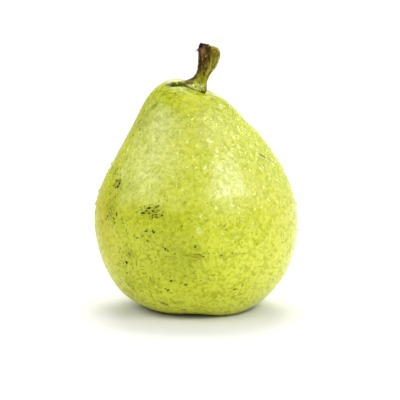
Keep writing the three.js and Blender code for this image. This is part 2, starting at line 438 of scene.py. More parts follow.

# %% [markdown]
# The bark's finish will need seven masks: how far up the stem a place is, which side it is on, the
# hollows between the wrinkles for painted shade, the dark tip, the scar where wood tore off, the dark
# edge of the foot with painted shade from the pit under its right side, and the pale collar where it
# enters the flesh.

# %% Masks on the stem
NUB_ACROSS, NUB_UP = (4.1, 0.8), (83.4, 1.0)
foot_side = fade(np.cos(angle), -0.35, -0.8) * fade(station, 4.4, 3.4) * fade(x, 1.0, -0.4)
foot_side = np.maximum(foot_side, 0.8 * fade(x, -0.2, -1.4) * fade(z, 84.0, 84.8))
# The second part is painted shade low on the stem's right side, where the pit lies under it.
nub = hump(x, *NUB_ACROSS) * hump(z, *NUB_UP) + 0.8 * fade(z, 83.0, 81.8) * fade(x, 0.5, 2.0)
add_ring_fields(
    stem,
    height=np.broadcast_to(station / station.max(), x.shape),
    side=np.broadcast_to(np.cos(angle), x.shape),
    hollow=-relief / (RIB_HEIGHT + WRINKLE_HEIGHT),
    tip=fade(z - 0.36 * x, 96.4, 97.6) * fade(x, 5.0, 3.6),
    scar=hump(x, 2.1, 1.35) * hump(z, 97.0, 2.2) * fade(y, 0.7, -1.0),
    foot=np.maximum(foot_side, nub),
    collar=fade(z + 0.35 * x, 86.2, 84.2),
)

# %% [markdown]
# ## Torn fibres
# Where the stem broke from the twig its wood tore into short dark fibres, and some hang over the
# edge. A fibre is a thin tube round a bent line that tapers to a point. All of them are made at once.

# %% Tapered tubes
def tapered_tubes(roots, ways, lengths, droops, radii, rows, columns):
    """Closed tubes along p(t) = root + length (t way - t^2 droop up), as wide as radius (1 - t)^0.6.

    A tube's rings stand across its own way: the first side is way x up and the second way x first.
    """
    t = np.concatenate([[0], np.linspace(0, 0.96, rows - 2), [1]])
    up = np.array([0.0, 0.0, 1.0])
    line = t[None, :, None] * ways[:, None] - (t**2)[None, :, None] * droops[:, None, None] * up
    line = roots[:, None] + line * lengths[:, None, None]
    first = np.cross(ways, up + 1e-3)
    first /= np.linalg.norm(first, axis=1)[:, None]
    second = np.cross(ways, first)
    turn = np.arange(columns) * 2 * np.pi / columns
    sides = np.cos(turn)[:, None] * first[:, None] + np.sin(turn)[:, None] * second[:, None]
    width = radii[:, None] * (1 - t) ** 0.6
    width[:, 0] = 0
    return line[:, :, None] + width[:, :, None, None] * sides[:, None]


upright = np.array([[0.0, 0.0, 1.0]])
test_tube = tapered_tubes(np.zeros((1, 3)), upright, np.ones(1), np.zeros(1), np.ones(1), rows=5, columns=6)
print("a test tube has", test_tube.shape[1], "rings and is", test_tube[..., 2].max().round(2), "high")

# %% [markdown]
# The roots lie in a ring on the broken end, the fibres lean outwards and to the left, and their
# lengths, droops and widths are drawn at random from a fixed seed.

# %% The fibres
FIBRES, FIBRE_ROWS, FIBRE_COLUMNS = 46, 9, 7
BROKEN_END = np.array([2.7, 0.0, 97.9])
FIBRE_LEAN = -0.55
draw = np.random.default_rng(15)
around = draw.uniform(0, 2 * np.pi, FIBRES)
out_from = draw.uniform(0.3, 1.0, FIBRES)
spread = np.stack([2.0 * np.cos(around), 2.5 * np.sin(around), 0.9 * np.cos(around)], 1)
roots = BROKEN_END + out_from[:, None] * spread
rising = draw.uniform(0.3, 1.0, FIBRES)
ways = np.stack([
    FIBRE_LEAN + 0.6 * np.cos(around), 0.7 * np.sin(around), rising + 0.45 * np.cos(around)], 1)
ways /= np.linalg.norm(ways, axis=1)[:, None]
lengths = draw.uniform(0.8, 2.1, FIBRES)
droops, widths = draw.uniform(0.4, 1.5, FIBRES), draw.uniform(0.16, 0.34, FIBRES)
tubes = tapered_tubes(roots, ways, lengths, droops, widths, FIBRE_ROWS, FIBRE_COLUMNS)
tubes[..., :2] += centring
fibres = new_piece(
    "torn_fibres", ring_points(tubes) * MM, ring_faces(FIBRE_ROWS, FIBRE_COLUMNS, FIBRES))
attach(fibres, "root")

# %% [markdown]
# ## Finishes
# Each finish is a small graph of shader nodes. A helper adds a node and sets or links its sockets in
# one call, so the graphs read as lists. Colours are written as they look on a screen, from 0 to 255,
# and turned into the linear light that a shader works in.

# %% Colours and nodes
def srgb(red, green, blue):
    """A colour from 0 to 255 a channel, as linear light with full cover."""
    share = np.array([red, green, blue]) / 255
    linear = np.where(share <= 0.04045, share / 12.92, ((share + 0.055) / 1.055) ** 2.4)
    return (*linear.tolist(), 1.0)


def put(tree, value, socket):
    """Links a socket to another node's output, or sets it to a plain value."""
    if isinstance(value, bpy.types.NodeSocket):
        tree.links.new(value, socket)
    else:
        socket.default_value = value


def add(tree, kind, sockets=None, **settings):
    """Adds a node, applies its settings, then links or sets the sockets given by name or number."""
    node = tree.nodes.new(kind)
    for name, value in settings.items():
        setattr(node, name, value)
    for name, value in (sockets or {}).items():
        put(tree, value, node.inputs[name])
    return node


print("a middle grey is", round(srgb(128, 128, 128)[0], 3), "in linear light")

# %% [markdown]
# Most of a finish is sums on masks: products, smooth ramps from one value to another, and glazes. A
# glaze lays one colour over what is there already, as strongly as its mask says.

# %% Sums, ramps and glazes
def math_node(tree, operation, first, second=0.0, clamp=False):
    """The result of one sum on two numbers."""
    return add(tree, "ShaderNodeMath", {0: first, 1: second}, operation=operation, use_clamp=clamp).outputs[0]


def ramp(tree, value, start, end, low=0.0, high=1.0):
    """Turns a value from start to end smoothly into one from low to high."""
    sockets = {"Value": value, "From Min": start, "From Max": end, "To Min": low, "To Max": high}
    return add(tree, "ShaderNodeMapRange", sockets, interpolation_type="SMOOTHSTEP").outputs[0]


def times(tree, first, second, clamp=False):
    """The product of two numbers, kept from 0 to 1 where it is clamped."""
    return math_node(tree, "MULTIPLY", first, second, clamp)


def centred(tree, mask, size, middle=0.5):
    """(mask - middle) size: a pattern that pushes a ramp's threshold both ways."""
    return times(tree, math_node(tree, "SUBTRACT", mask, middle), size)


def mix_colour(tree, share, first, second):
    """The first colour where the share is 0, the second where it is 1."""
    node = add(tree, "ShaderNodeMix", data_type="RGBA", blend_type="MIX")
    for number, value in ((0, share), (6, first), (7, second)):
        put(tree, value, node.inputs[number])
    return node.outputs[2]


def glaze(tree, colour, layers):
    """Lays each (share, colour) of the layers over the colour so far."""
    for share, over in layers:
        colour = mix_colour(tree, share, colour, over)
    return colour


print("the ways to join masks:", math_node.__name__, ramp.__name__, times.__name__, glaze.__name__)

# %% [markdown]
# A finish starts as a shader with Object coordinates. They stay with the piece, so its pattern does
# too. Masks that were stored on a piece come in by name.

# %% Starting a finish
def field(tree, name):
    """The number that a piece stores under this name."""
    return add(tree, "ShaderNodeAttribute", attribute_name=name).outputs["Fac"]


def new_finish(name):
    """A material with nothing in its graph but the shader and the output."""
    material = bpy.data.materials.new(name)
    material.use_nodes = True
    tree = material.node_tree
    tree.nodes.clear()
    shader = add(tree, "ShaderNodeBsdfPrincipled")
    add(tree, "ShaderNodeOutputMaterial", {"Surface": shader.outputs[0]})
    place = add(tree, "ShaderNodeTexCoord").outputs["Object"]
    return material, tree, shader, place


print("a finish starts with", new_finish.__name__, "and reads masks with", field.__name__)

# %% [markdown]
# ## Shared effects
# *Dots* are the pores of the skin: each cell of a Voronoi pattern has one dot, and a slow noise makes
# some of them fainter. *Mottle* is a blend of a broad and a fine noise, for patches.
# *Mark* turns a place in a mark's own frame into a ragged blot, strong within the core and gone at 1.

# %% Making and using a group
VECTOR, FLOAT = "NodeSocketVector", "NodeSocketFloat"


def new_group(name, inputs, outputs):
    """An empty node group with named sockets; inputs are (name, kind, value)."""
    tree = bpy.data.node_groups.new(name, "ShaderNodeTree")
    for label, kind, value in inputs:
        socket = tree.interface.new_socket(name=label, in_out="INPUT", socket_type=kind)
        if value is not None:
            socket.default_value = value
    for label in outputs:
        tree.interface.new_socket(name=label, in_out="OUTPUT", socket_type="NodeSocketFloat")
    return tree, tree.nodes.new("NodeGroupInput").outputs, tree.nodes.new("NodeGroupOutput").inputs


def use_group(tree, group, sockets):
    """Places a node group in a graph and gives its mask."""
    return add(tree, "ShaderNodeGroup", sockets, node_tree=group).outputs["Mask"]


print("a group's sockets are of the kinds", VECTOR, "and", FLOAT)

# %% [markdown]
# The first group makes dots. A dot is strong in its core and fades to nothing at its size, both
# measured in cells, so the spacing alone sets how large it is on the fruit.

# %% Dots
dots, given, result = new_group(
    "dots",
    [("Place", VECTOR, None), ("Spacing", FLOAT, 0.002), ("Size", FLOAT, 0.3), ("Fading", FLOAT, 0.5)],
    ["Mask"],
)
per_metre = math_node(dots, "DIVIDE", 1.0, given["Spacing"])
cells = add(dots, "ShaderNodeTexVoronoi", {"Vector": given["Place"], "Scale": per_metre})
edge = math_node(dots, "MULTIPLY", given["Size"], 0.35)
core = ramp(dots, cells.outputs["Distance"], given["Size"], edge)
some = add(dots, "ShaderNodeTexNoise", {
    "Vector": given["Place"], "Scale": times(dots, per_metre, 0.45)})
faint_share = ramp(dots, some.outputs["Fac"], 0.35, 0.65)
kept = math_node(dots, "SUBTRACT", 1.0, times(dots, given["Fading"], faint_share))
dots.links.new(times(dots, core, kept), result["Mask"])
print("dots has", len(dots.nodes), "nodes")

# %% [markdown]
# The second group makes mottle. Its start and end say which part of the blended noise turns from
# bare to covered, so a narrow span between them gives patches with clear edges.

# %% Mottle
mottle, given, result = new_group(
    "mottle",
    [("Place", VECTOR, None), ("Broad", FLOAT, 0.012), ("Fine", FLOAT, 0.002), ("Fine share", FLOAT, 0.5),
     ("Start", FLOAT, 0.4), ("End", FLOAT, 0.6)],
    ["Mask"],
)
broad, fine = (
    add(mottle, "ShaderNodeTexNoise", {
        "Vector": given["Place"], "Scale": math_node(mottle, "DIVIDE", 1.0, given[size]), "Detail": 3.0})
    for size in ("Broad", "Fine")
)
both = add(mottle, "ShaderNodeMix", {
    0: given["Fine share"], 2: broad.outputs["Fac"], 3: fine.outputs["Fac"]})
mottle.links.new(ramp(mottle, both.outputs[0], given["Start"], given["End"]), result["Mask"])


def mottled(tree, place, broad, fine, fine_share=0.5, start=0.4, end=0.6):
    """A mottle mask with patches of the two lengths, in metres."""
    return use_group(tree, mottle, {
        "Place": place, "Broad": broad, "Fine": fine, "Fine share": fine_share, "Start": start, "End": end})


print("mottle has", len(mottle.nodes), "nodes")

# %% [markdown]
# The third group draws one mark. Across a mark its frame runs from -1 to 1, so the distance from the
# middle is the root of the sum of two squares. The frame's third number is the mark's strength, and a
# fine shake makes the rim ragged.

# %% Mark
mark, given, result = new_group(
    "mark",
    [("Frame", VECTOR, None), ("Shake", VECTOR, None), ("Core", FLOAT, 0.5)],
    ["Mask"],
)
shaken = add(mark, "ShaderNodeVectorMath", {0: given["Frame"], 1: given["Shake"]}, operation="ADD")
parts = add(mark, "ShaderNodeSeparateXYZ", {0: shaken.outputs[0]}).outputs
away = math_node(mark, "SQRT", math_node(
    mark, "ADD", times(mark, parts["X"], parts["X"]), times(mark, parts["Y"], parts["Y"])))
strength = add(mark, "ShaderNodeSeparateXYZ", {0: given["Frame"]}).outputs["Z"]
shape = ramp(mark, away, 1.0, given["Core"])
mark.links.new(times(mark, shape, strength), result["Mask"])
print("node groups", [group.name for group in bpy.data.node_groups])

# %% [markdown]
# ## Marks on the skin
# A picked pear carries small russet specks, scratches and a bruise. Each mark is placed by where it
# is seen from the front, and then fixed on the skin itself, so it stays there in every other view.
# First comes the way that the skin faces at each point, from the steps to its neighbours.

# %% The way the skin faces
picture_points = to_picture(fruit_points)
step_up = np.gradient(fruit_points, axis=0)
step_round = (np.roll(fruit_points, -1, axis=1) - np.roll(fruit_points, 1, axis=1)) / 2
outwards = np.cross(step_round, step_up)
outwards /= np.linalg.norm(outwards, axis=-1, keepdims=True) + 1e-12
facing = ((np.array(camera.location) - fruit_points) * outwards).sum(-1) > 0
print("of the skin's points,", round(100 * facing.mean()), "in 100 face the front")

# %% [markdown]
# A place in the picture belongs to one place on the facing skin. The nearest point of the rings is
# up to half a step off, so a last short step along the surface closes the gap.

# %% Find a place on the skin
NEAR = 1.5


def seen_at(column, row):
    """The place on the skin seen at a picture place, and the way that the skin faces there.

    It starts at the nearest facing point and then takes the one step along the surface that closes
    the remaining gap in the picture.
    """
    gap = np.array([column, row]) - picture_points
    distance = np.where(facing, np.hypot(gap[..., 0], gap[..., 1]), np.inf)
    i, j = np.unravel_index(np.argmin(distance), distance.shape)
    here = fruit_points[i, j]
    sides = np.stack([step_round[i, j], step_up[i, j]])
    slopes = (to_picture(here + sides) - picture_points[i, j]).T
    steps = np.clip(np.linalg.solve(slopes, gap[i, j]), -NEAR, NEAR)
    return here + steps @ sides, outwards[i, j]


print("the belly's middle faces", np.round(seen_at(196, 220)[1], 2))

# %% [markdown]
# Every mark has its own flat frame: along it, across it, and out of the skin. Divided by the mark's
# size, the frame turns any place near the mark into one number along and one across, from -1 to 1.
# The rims are soft, so the sizes are stretched by two thirds to look as wide as they are written.

# %% A mark's frame
BLUR = 1.65
MARK_REACH = 3


def mark_frame(column, row, half_length, half_width, turn):
    """A mark's centre and its three axes, each divided by the mark's size along it.

    Level is Z x F, scaled to length 1, for the way F that the skin faces. The mark's length runs
    along level cos(turn) + F x level sin(turn), and F is measured in units of the marks' reach.
    """
    centre, facing_way = seen_at(column, row)
    level = np.cross([0.0, 0.0, 1.0], facing_way)
    level /= np.linalg.norm(level)
    turn = math.radians(turn)
    along = level * math.cos(turn) + np.cross(facing_way, level) * math.sin(turn)
    beside = np.cross(facing_way, along)
    axes = np.stack([along / half_length, beside / half_width, facing_way / MARK_REACH])
    return centre, axes / MM / BLUR


_, test_axes = mark_frame(196, 220, half_length=1, half_width=1, turn=0)
print("one millimetre along a test mark is", np.linalg.norm(test_axes[0] * MM).round(2), "in its frame")

# %% [markdown]
# A mark is finer than the mesh, so painting it on the points would blur it. Storing the place in the
# mark's frame at each face's corners keeps it exact, because a flat frame changes evenly between the
# corners and the shader then draws the mark's edge itself.

# %% Store the marks
FAR_OFF = 9


def read(items, name, count, kind):
    """One property of all of a mesh's parts as an array."""
    values = np.empty(count, kind)
    items.foreach_get(name, values)
    return values


def add_marks(piece, name, marks):
    """Gives every face corner its place in one mark's frame, and that mark's strength.

    A face takes the mark whose frame puts the face's middle nearest to its centre. The frame is flat,
    so the place stays exact between the corners, however fine the mark is.
    """
    mesh = piece.data
    corners = read(mesh.loops, "vertex_index", len(mesh.loops), np.int32)
    points = read(mesh.vertices, "co", len(mesh.vertices) * 3, np.float32).reshape(-1, 3)
    totals = read(mesh.polygons, "loop_total", len(mesh.polygons), np.int32)
    middles = read(mesh.polygons, "center", len(mesh.polygons) * 3, np.float32)
    centres, frames = map(np.array, zip(*[mark_frame(*values[:5]) for values in marks]))
    away = middles.reshape(-1, 1, 3) - centres[None]
    nearest = (np.einsum("fmk,mjk->fmj", away, frames) ** 2).sum(-1).argmin(1)
    nearest = np.repeat(nearest, totals)
    place = np.einsum("ck,cjk->cj", points[corners] - centres[nearest], frames[nearest])
    place = np.clip(place, -FAR_OFF, FAR_OFF)
    place[:, 2] = np.array([values[5] for values in marks])[nearest] * (np.abs(place[:, 2]) < 1)
    stored = mesh.attributes.new(name, "FLOAT_VECTOR", "CORNER")
    stored.data.foreach_set("vector", place.astype(np.float32).ravel())
    print(len(marks), name, "marks on", len(mesh.polygons), "faces")


# %% [markdown]
# ## The marks themselves
# Each mark is a column and a row, half its length and half its width in millimetres, its turn in
# degrees, and how strongly it shows. Long thin ones are scratches and round ones are specks.

# %% Dashes and a ring
DARK_MARKS = [
    # a patch of short dashes
    (149.3, 207.9, 1.0, 0.28, 16, 1.0), (144.4, 206.4, 0.4, 0.25, 80, 0.6),
    (140.4, 207.0, 0.4, 0.3, 20, 0.4), (146.6, 210.6, 0.5, 0.28, 0, 0.8),
    (141.2, 209.8, 0.7, 0.25, 35, 0.35), (137.0, 212.0, 0.6, 0.3, 40, 0.45),
    (144.0, 212.8, 0.8, 0.3, 10, 1.0), (149.0, 213.2, 0.4, 0.35, 0, 0.8),
    (156.8, 206.8, 0.85, 0.28, 28, 0.75), (154.0, 208.6, 0.4, 0.22, 20, 0.5),
    (153.2, 211.0, 0.6, 0.4, -10, 0.85), (156.0, 210.4, 0.5, 0.22, 10, 0.5),
    (158.9, 210.6, 0.5, 0.3, 30, 0.65), (156.6, 212.6, 0.8, 0.2, 4, 0.6),
    (156.3, 214.6, 0.9, 0.28, 0, 1.0), (161.8, 215.4, 0.42, 0.36, -10, 1.0),
    (163.2, 212.4, 0.5, 0.25, 20, 0.45), (156.6, 216.8, 1.0, 0.3, 2, 0.75),
    (152.5, 215.2, 0.3, 0.22, 80, 0.85), (152.5, 217.5, 0.3, 0.26, 80, 0.95),
    (150.0, 216.6, 0.5, 0.3, 0, 0.35), (158.9, 201.4, 0.4, 0.25, 10, 0.3),
    (167.4, 200.4, 0.45, 0.25, 50, 0.4), (164.6, 196.0, 0.35, 0.3, 0, 0.45),
    # a broken ring of specks
    (116.4, 181.4, 0.62, 0.44, 70, 1), (118.5, 180.8, 0.5, 0.34, 20, 0.72),
    (120.2, 180.8, 0.5, 0.39, 70, 0.91), (119.3, 183.8, 0.69, 0.39, 80, 1),
    (117.6, 186.4, 0.56, 0.49, 20, 1), (114.4, 185.2, 0.56, 0.39, 30, 0.91),
    (115.6, 187.4, 0.44, 0.36, 0, 0.78), (115.0, 183.6, 0.44, 0.36, 60, 0.59),
    (120.9, 188.4, 0.5, 0.33, 60, 0.52),
]
print(len(DARK_MARKS), "dark marks are in the dashes and the ring")

# %% [markdown]
# Loose specks lie all over the shaded side, closest together round the ring.

# %% Loose specks
DARK_MARKS += [
    (112.4, 168.0, 0.6, 0.32, 80, 0.7), (110.3, 172.3, 0.6, 0.5, 60, 0.45),
    (115.8, 169.8, 0.6, 0.28, -60, 0.5), (117.6, 168.2, 0.4, 0.3, 0, 0.5),
    (120.6, 168.8, 0.5, 0.3, -10, 0.4), (117.6, 174.2, 0.4, 0.3, -20, 0.6),
    (120.2, 175.2, 0.45, 0.25, 10, 0.4), (112.6, 176.2, 0.5, 0.3, 70, 0.4),
    (110.3, 193.6, 0.6, 0.28, -75, 0.5), (115.4, 196.6, 0.5, 0.28, 85, 0.65),
    (109.3, 200.2, 0.4, 0.28, 60, 0.6), (108.2, 202.6, 0.9, 0.2, 66, 0.45),
    (107.4, 205.0, 0.5, 0.32, 80, 0.8), (110.8, 209.0, 0.4, 0.34, -40, 0.7),
    (111.8, 212.4, 1.1, 0.22, -66, 0.5), (111.3, 215.6, 0.4, 0.28, 20, 0.55),
    (116.6, 214.2, 0.6, 0.3, 86, 1.0), (107.6, 216.2, 0.45, 0.4, 0, 1.0),
    (106.4, 218.4, 0.4, 0.34, 70, 0.7), (114.0, 218.8, 0.95, 0.26, -36, 0.75),
    (114.4, 222.4, 0.4, 0.3, 70, 0.7), (121.6, 219.4, 0.4, 0.32, 80, 0.5),
    (127.0, 220.4, 0.5, 0.3, 0, 0.4), (123.3, 223.2, 0.4, 0.3, 0, 0.45),
    (102.2, 223.0, 0.5, 0.3, 80, 0.4), (109.4, 225.2, 0.5, 0.28, 80, 0.45),
    (104.4, 202.8, 0.4, 0.3, 80, 0.4), (129.4, 183.4, 0.5, 0.28, 75, 0.45),
    (139.9, 129.6, 0.42, 0.34, 45, 0.85), (133.0, 135.4, 0.5, 0.32, 35, 0.85),
    (130.2, 137.6, 0.45, 0.3, 30, 0.6), (146.0, 124.4, 0.7, 0.25, -60, 0.35),
    (139.4, 121.4, 0.9, 0.6, 50, 0.4), (135.4, 125.6, 0.9, 0.5, 55, 0.3),
    (138.4, 138.4, 0.6, 0.4, 50, 0.25), (175.2, 93.2, 0.38, 0.3, 0, 0.75),
    (126.2, 160.0, 0.5, 0.35, 80, 0.4), (148.2, 172.4, 0.6, 0.2, 60, 0.3),
    (163.6, 131.0, 0.4, 0.3, 0, 0.2),
]
print(len(DARK_MARKS), "dark marks with the loose specks")

# %% [markdown]
# Lower down the marks are single dots and short dashes. The last two belong to a long scratch on the
# right shoulder.

# %% Single dots and dashes
DARK_MARKS += [
    (126.4, 230.6, 0.35, 0.3, 60, 0.6), (145.8, 231.0, 0.6, 0.32, 20, 0.75),
    (147.2, 229.6, 0.5, 0.25, 30, 0.45), (152.4, 231.0, 0.34, 0.28, -20, 0.9),
    (153.8, 232.2, 0.42, 0.34, 0, 1.0), (134.2, 236.0, 0.4, 0.3, 60, 0.55),
    (137.2, 238.0, 0.5, 0.35, 10, 0.6), (142.4, 236.2, 0.5, 0.25, 50, 0.4),
    (147.5, 240.8, 0.5, 0.3, 10, 0.6), (154.5, 242.0, 0.5, 0.35, 0, 0.3),
    (120.3, 248.4, 0.32, 0.3, 0, 0.65), (119.0, 250.2, 0.4, 0.25, 40, 0.3),
    (126.4, 262.3, 0.52, 0.45, 0, 1.0), (133.4, 256.8, 0.3, 0.25, 80, 0.4),
    (127.0, 272.6, 0.4, 0.28, -20, 0.6), (142.4, 269.4, 0.5, 0.22, 0, 0.4),
    (134.0, 277.0, 0.4, 0.28, 0, 0.45), (137.2, 279.2, 0.45, 0.28, 0, 0.4),
    (150.4, 278.8, 0.6, 0.3, -70, 0.6), (163.0, 247.4, 0.42, 0.32, 10, 0.6),
    (165.6, 249.2, 0.38, 0.34, 30, 1.0), (167.8, 251.2, 0.4, 0.28, 0, 0.65),
    (174.8, 254.2, 0.35, 0.3, 0, 0.5), (171.2, 281.0, 0.45, 0.38, 20, 0.9),
    (165.6, 288.6, 0.36, 0.3, 0, 0.9), (168.0, 290.2, 0.48, 0.36, 10, 0.9),
    (161.0, 292.0, 0.5, 0.28, 0, 0.45), (141.0, 291.2, 0.7, 0.26, -8, 0.65),
    (128.6, 284.8, 0.45, 0.28, 0, 0.7), (129.8, 286.4, 0.4, 0.28, 60, 0.55),
    (133.5, 289.0, 0.5, 0.25, 10, 0.4), (141.0, 287.6, 0.5, 0.2, 0, 0.3),
    (120.0, 283.0, 1.4, 0.4, -52, 0.45), (195.4, 246.8, 0.4, 0.36, 0, 0.85),
    (200.2, 254.8, 0.4, 0.22, -10, 0.55), (203.3, 256.4, 0.45, 0.25, -24, 0.7),
    (187.4, 255.4, 0.7, 0.22, 0, 0.45), (183.0, 258.2, 0.35, 0.3, 0, 0.35),
    (194.5, 260.4, 0.4, 0.3, 0, 0.35), (221.2, 255.2, 0.5, 0.4, 0, 0.6),
    (242.0, 243.2, 0.5, 0.28, 80, 0.35), (256.8, 244.6, 0.5, 0.28, 45, 0.4),
    (185.8, 284.8, 0.52, 0.42, 0, 0.75), (179.6, 283.4, 0.4, 0.32, 0, 0.45),
    (210.6, 280.4, 0.4, 0.3, 0, 0.4), (235.2, 289.4, 0.7, 0.26, 8, 1.0),
    (234.4, 285.6, 0.4, 0.3, 0, 0.45), (242.4, 285.6, 0.5, 0.28, 80, 0.5),
    (183.4, 309.6, 1.3, 0.3, 0, 0.8), (262.8, 156.2, 2.9, 0.2, -34, 0.8),
    (257.6, 153.0, 0.5, 0.22, -40, 0.5),
]
print(len(DARK_MARKS), "dark marks")

# %% [markdown]
# Scratches that healed are tan. Bruises and thin cork are olive: broad, faint and without an edge.

# %% Tan and olive marks
TAN_MARKS = [
    (129.2, 253.4, 0.95, 0.32, -62, 1.0), (131.6, 251.6, 0.95, 0.25, -66, 0.7),
    (127.2, 246.2, 0.9, 0.22, -70, 0.4), (136.8, 263.6, 0.75, 0.32, 80, 0.7),
    (132.8, 268.0, 0.8, 0.3, 50, 0.5), (130.4, 271.8, 0.9, 0.3, 55, 0.5),
    (163.4, 303.4, 1.7, 0.48, -34, 0.8), (160.2, 301.4, 0.8, 0.35, -40, 0.4),
    (173.5, 249.0, 0.8, 0.28, 6, 0.4), (196.6, 254.4, 1.3, 0.2, -4, 0.8),
    (202.2, 255.8, 0.9, 0.2, -28, 0.8), (194.4, 257.2, 1.3, 0.18, -4, 0.6),
    (199.6, 259.0, 0.8, 0.18, -40, 0.55), (201.4, 262.0, 0.9, 0.2, -74, 0.4),
    (129.8, 292.8, 0.9, 0.35, -40, 0.4), (118.6, 246.8, 0.7, 0.28, 40, 0.3),
    (221.4, 250.0, 1.3, 0.2, 76, 0.3), (146.6, 276.4, 0.7, 0.26, 30, 0.3),
    (263.2, 156.0, 3.4, 0.34, -34, 0.7), (209.0, 295.0, 0.8, 0.24, 10, 0.3),
    (151.0, 296.6, 0.9, 0.3, -16, 0.3), (244.2, 281.6, 0.9, 0.3, 70, 0.3),
]
OLIVE_MARKS = [
    (154.6, 106.4, 1.7, 1.2, 60, 0.75), (132.0, 287.0, 2.6, 1.4, -36, 0.35),
    (151.4, 212.0, 4.8, 2.2, 8, 0.42), (111.0, 210.0, 2.2, 5.6, 6, 0.3),
    (117.6, 184.0, 1.7, 2.1, 0, 0.4), (115.4, 171.4, 2.2, 1.6, 70, 0.4),
    (105.4, 218.0, 0.9, 2.2, 10, 0.3), (130.6, 254.6, 2.2, 2.6, 30, 0.3),
    (184.4, 202.6, 1.5, 0.9, 20, 0.45), (144.0, 123.6, 2.8, 1.2, 50, 0.3),
    (196.4, 247.4, 1.2, 1.0, 0, 0.3), (165.4, 249.0, 1.6, 1.0, -30, 0.3),
    (178.6, 200.2, 0.8, 0.6, 0, 0.3), (153.6, 231.6, 1.0, 0.7, 0, 0.3),
    (196.0, 256.8, 2.6, 1.2, -16, 0.25),
]
print(len(TAN_MARKS), "tan and", len(OLIVE_MARKS), "olive marks")

# %% [markdown]
# Between the marks lies a scatter too fine to place by hand, so it is drawn at random round a few
# spots. Each is a column, a row, its spread across and down, and how many specks fall there.

# %% Fine scatter
SCATTER = [
    (110, 212, 8, 26, 34), (128, 268, 16, 16, 30), (152, 252, 20, 26, 36), (136, 132, 9, 14, 10),
    (118, 180, 6, 14, 14), (150, 212, 16, 8, 16), (200, 282, 40, 14, 26), (240, 262, 30, 24, 18),
    (190, 232, 30, 26, 18), (150, 292, 16, 6, 12),
]
SCATTER_WIDTH = 0.6
draw = np.random.default_rng(8)
for column, row, across, down, count in SCATTER:
    for _ in range(count):
        spot = column + draw.normal(0, SCATTER_WIDTH) * across, row + draw.normal(0, SCATTER_WIDTH) * down
        size = draw.uniform(0.22, 0.5), draw.uniform(0.14, 0.24)
        DARK_MARKS.append((*spot, *size, draw.uniform(-60, 80), draw.uniform(0.2, 0.6)))

for name, marks in (("dark", DARK_MARKS), ("tan", TAN_MARKS), ("olive", OLIVE_MARKS)):
    add_marks(skin, name, marks)

# %% [markdown]
# ## The skin's finish
# A pear's skin is a thin wax over green flesh. Where the sun reached it the green turns yellow, and in
# some places the wax has rubbed dull. Darker green patches are partly the skin's own and partly painted
# shade, and pale patches are painted sheen. Such patches have no edge, so each is a soft ball round a
# place on the skin: a column, a row, a radius in millimetres, and a strength.

# %% Patches on the skin
def patches_at(spots):
    """One number for each skin point: the sum of strength exp(-(distance / radius)^2) over the spots."""
    total = np.zeros(fruit_points.shape[:2])
    for column, row, radius, strength in spots:
        away = np.linalg.norm(fruit_points - seen_at(column, row)[0], axis=-1)
        total += strength * np.exp(-((away / (radius * MM)) ** 2))
    return total


# Some darker green spots are the skin's own; many are painted shade on places that the lights leave too
# bright.
SHADED = [
    (172, 250, 11, 0.9), (186, 266, 8, 0.5), (164, 224, 7, 0.5), (186, 226, 7, 0.5), (148, 272, 9, 0.4),
    (118, 186, 5, 0.35), (110, 206, 6, 0.5), (136, 232, 8, 0.4), (155, 106, 3, 0.6), (160, 96, 4, 0.4),
    (200, 286, 9, 0.2), (130, 284, 8, 0.35), (228, 262, 7, 0.15), (122, 160, 3, 0.3),
    (243, 138, 7, 0.8), (238, 162, 6, 0.6), (175, 190, 5, 0.4), (119, 249, 6, 0.45), (124, 271, 6, 0.4),
    (264, 146, 7, 0.5), (252, 128, 5, 0.5), (276, 162, 5, 0.5), (114, 171, 4, 0.35),
    (241, 120, 5, 0.6), (256, 133, 5, 0.6), (267, 149, 5, 0.5), (284, 180, 6, 0.3),
]
SUNNY = [
    (262, 196, 6, 0.8), (284, 214, 9, 0.9), (272, 250, 10, 0.6), (190, 104, 5, 0.7),
    (240, 214, 7, 0.4), (186, 148, 6, 0.5), (250, 285, 9, 0.4),
]
GOLDEN = [(101, 206, 6, 0.7), (103, 224, 7, 0.8), (106, 246, 6, 0.7), (112, 262, 5, 0.4), (114, 190, 4, 0.4)]
# The pale spots are painted highlights and sheen, where the wax mirrors the lights.
PALE = [(210, 135, 7, 0.2), (256, 190, 5, 0.2), (190, 101, 5, 0.16), (230, 187, 5, 0.1), (180, 130, 5, 0.1)]
DULL = [(175, 190, 6, 1.0), (112, 171, 4, 0.8), (110, 184, 4, 0.7)]
add_ring_fields(
    skin, golden=patches_at(GOLDEN), shaded=patches_at(SHADED), sunny=patches_at(SUNNY),
    dull=patches_at(DULL))

# %% [markdown]
# On the flanks the wax is thinner, and lower down the flanks carry a pale painted sheen, where the rims
# mirror the bright room. Both follow from the way that the skin itself faces and from its height, so
# they stay where they are in every view.

# %% Flanks and bloom
height_mm = fruit_points[..., 2] / MM
left = outwards[..., 0] < 0
sideways = np.abs(outwards[..., 1])
flank = fade(sideways, 0.52, 0.12) * np.where(left, 1.0, fade(height_mm, 40, 52))
# Painted sheen: pale colour on the flanks, and at the pale spots where the wax mirrors the lights.
bloom = fade(sideways, 0.8, 0.1) * fade(height_mm, 58, 18) * np.where(left, 0.24, 0.12)
add_ring_fields(skin, edge=flank, bloom=bloom + patches_at(PALE))

# %% [markdown]
# The colours are layered like thin glazes. The ground drifts between two greens. Painted light makes
# it lighter and yellower towards the base, and painted shade makes it a deeper green towards the
# crown. The greener patches, partly painted shade, and the sunny and golden patches lie over that.

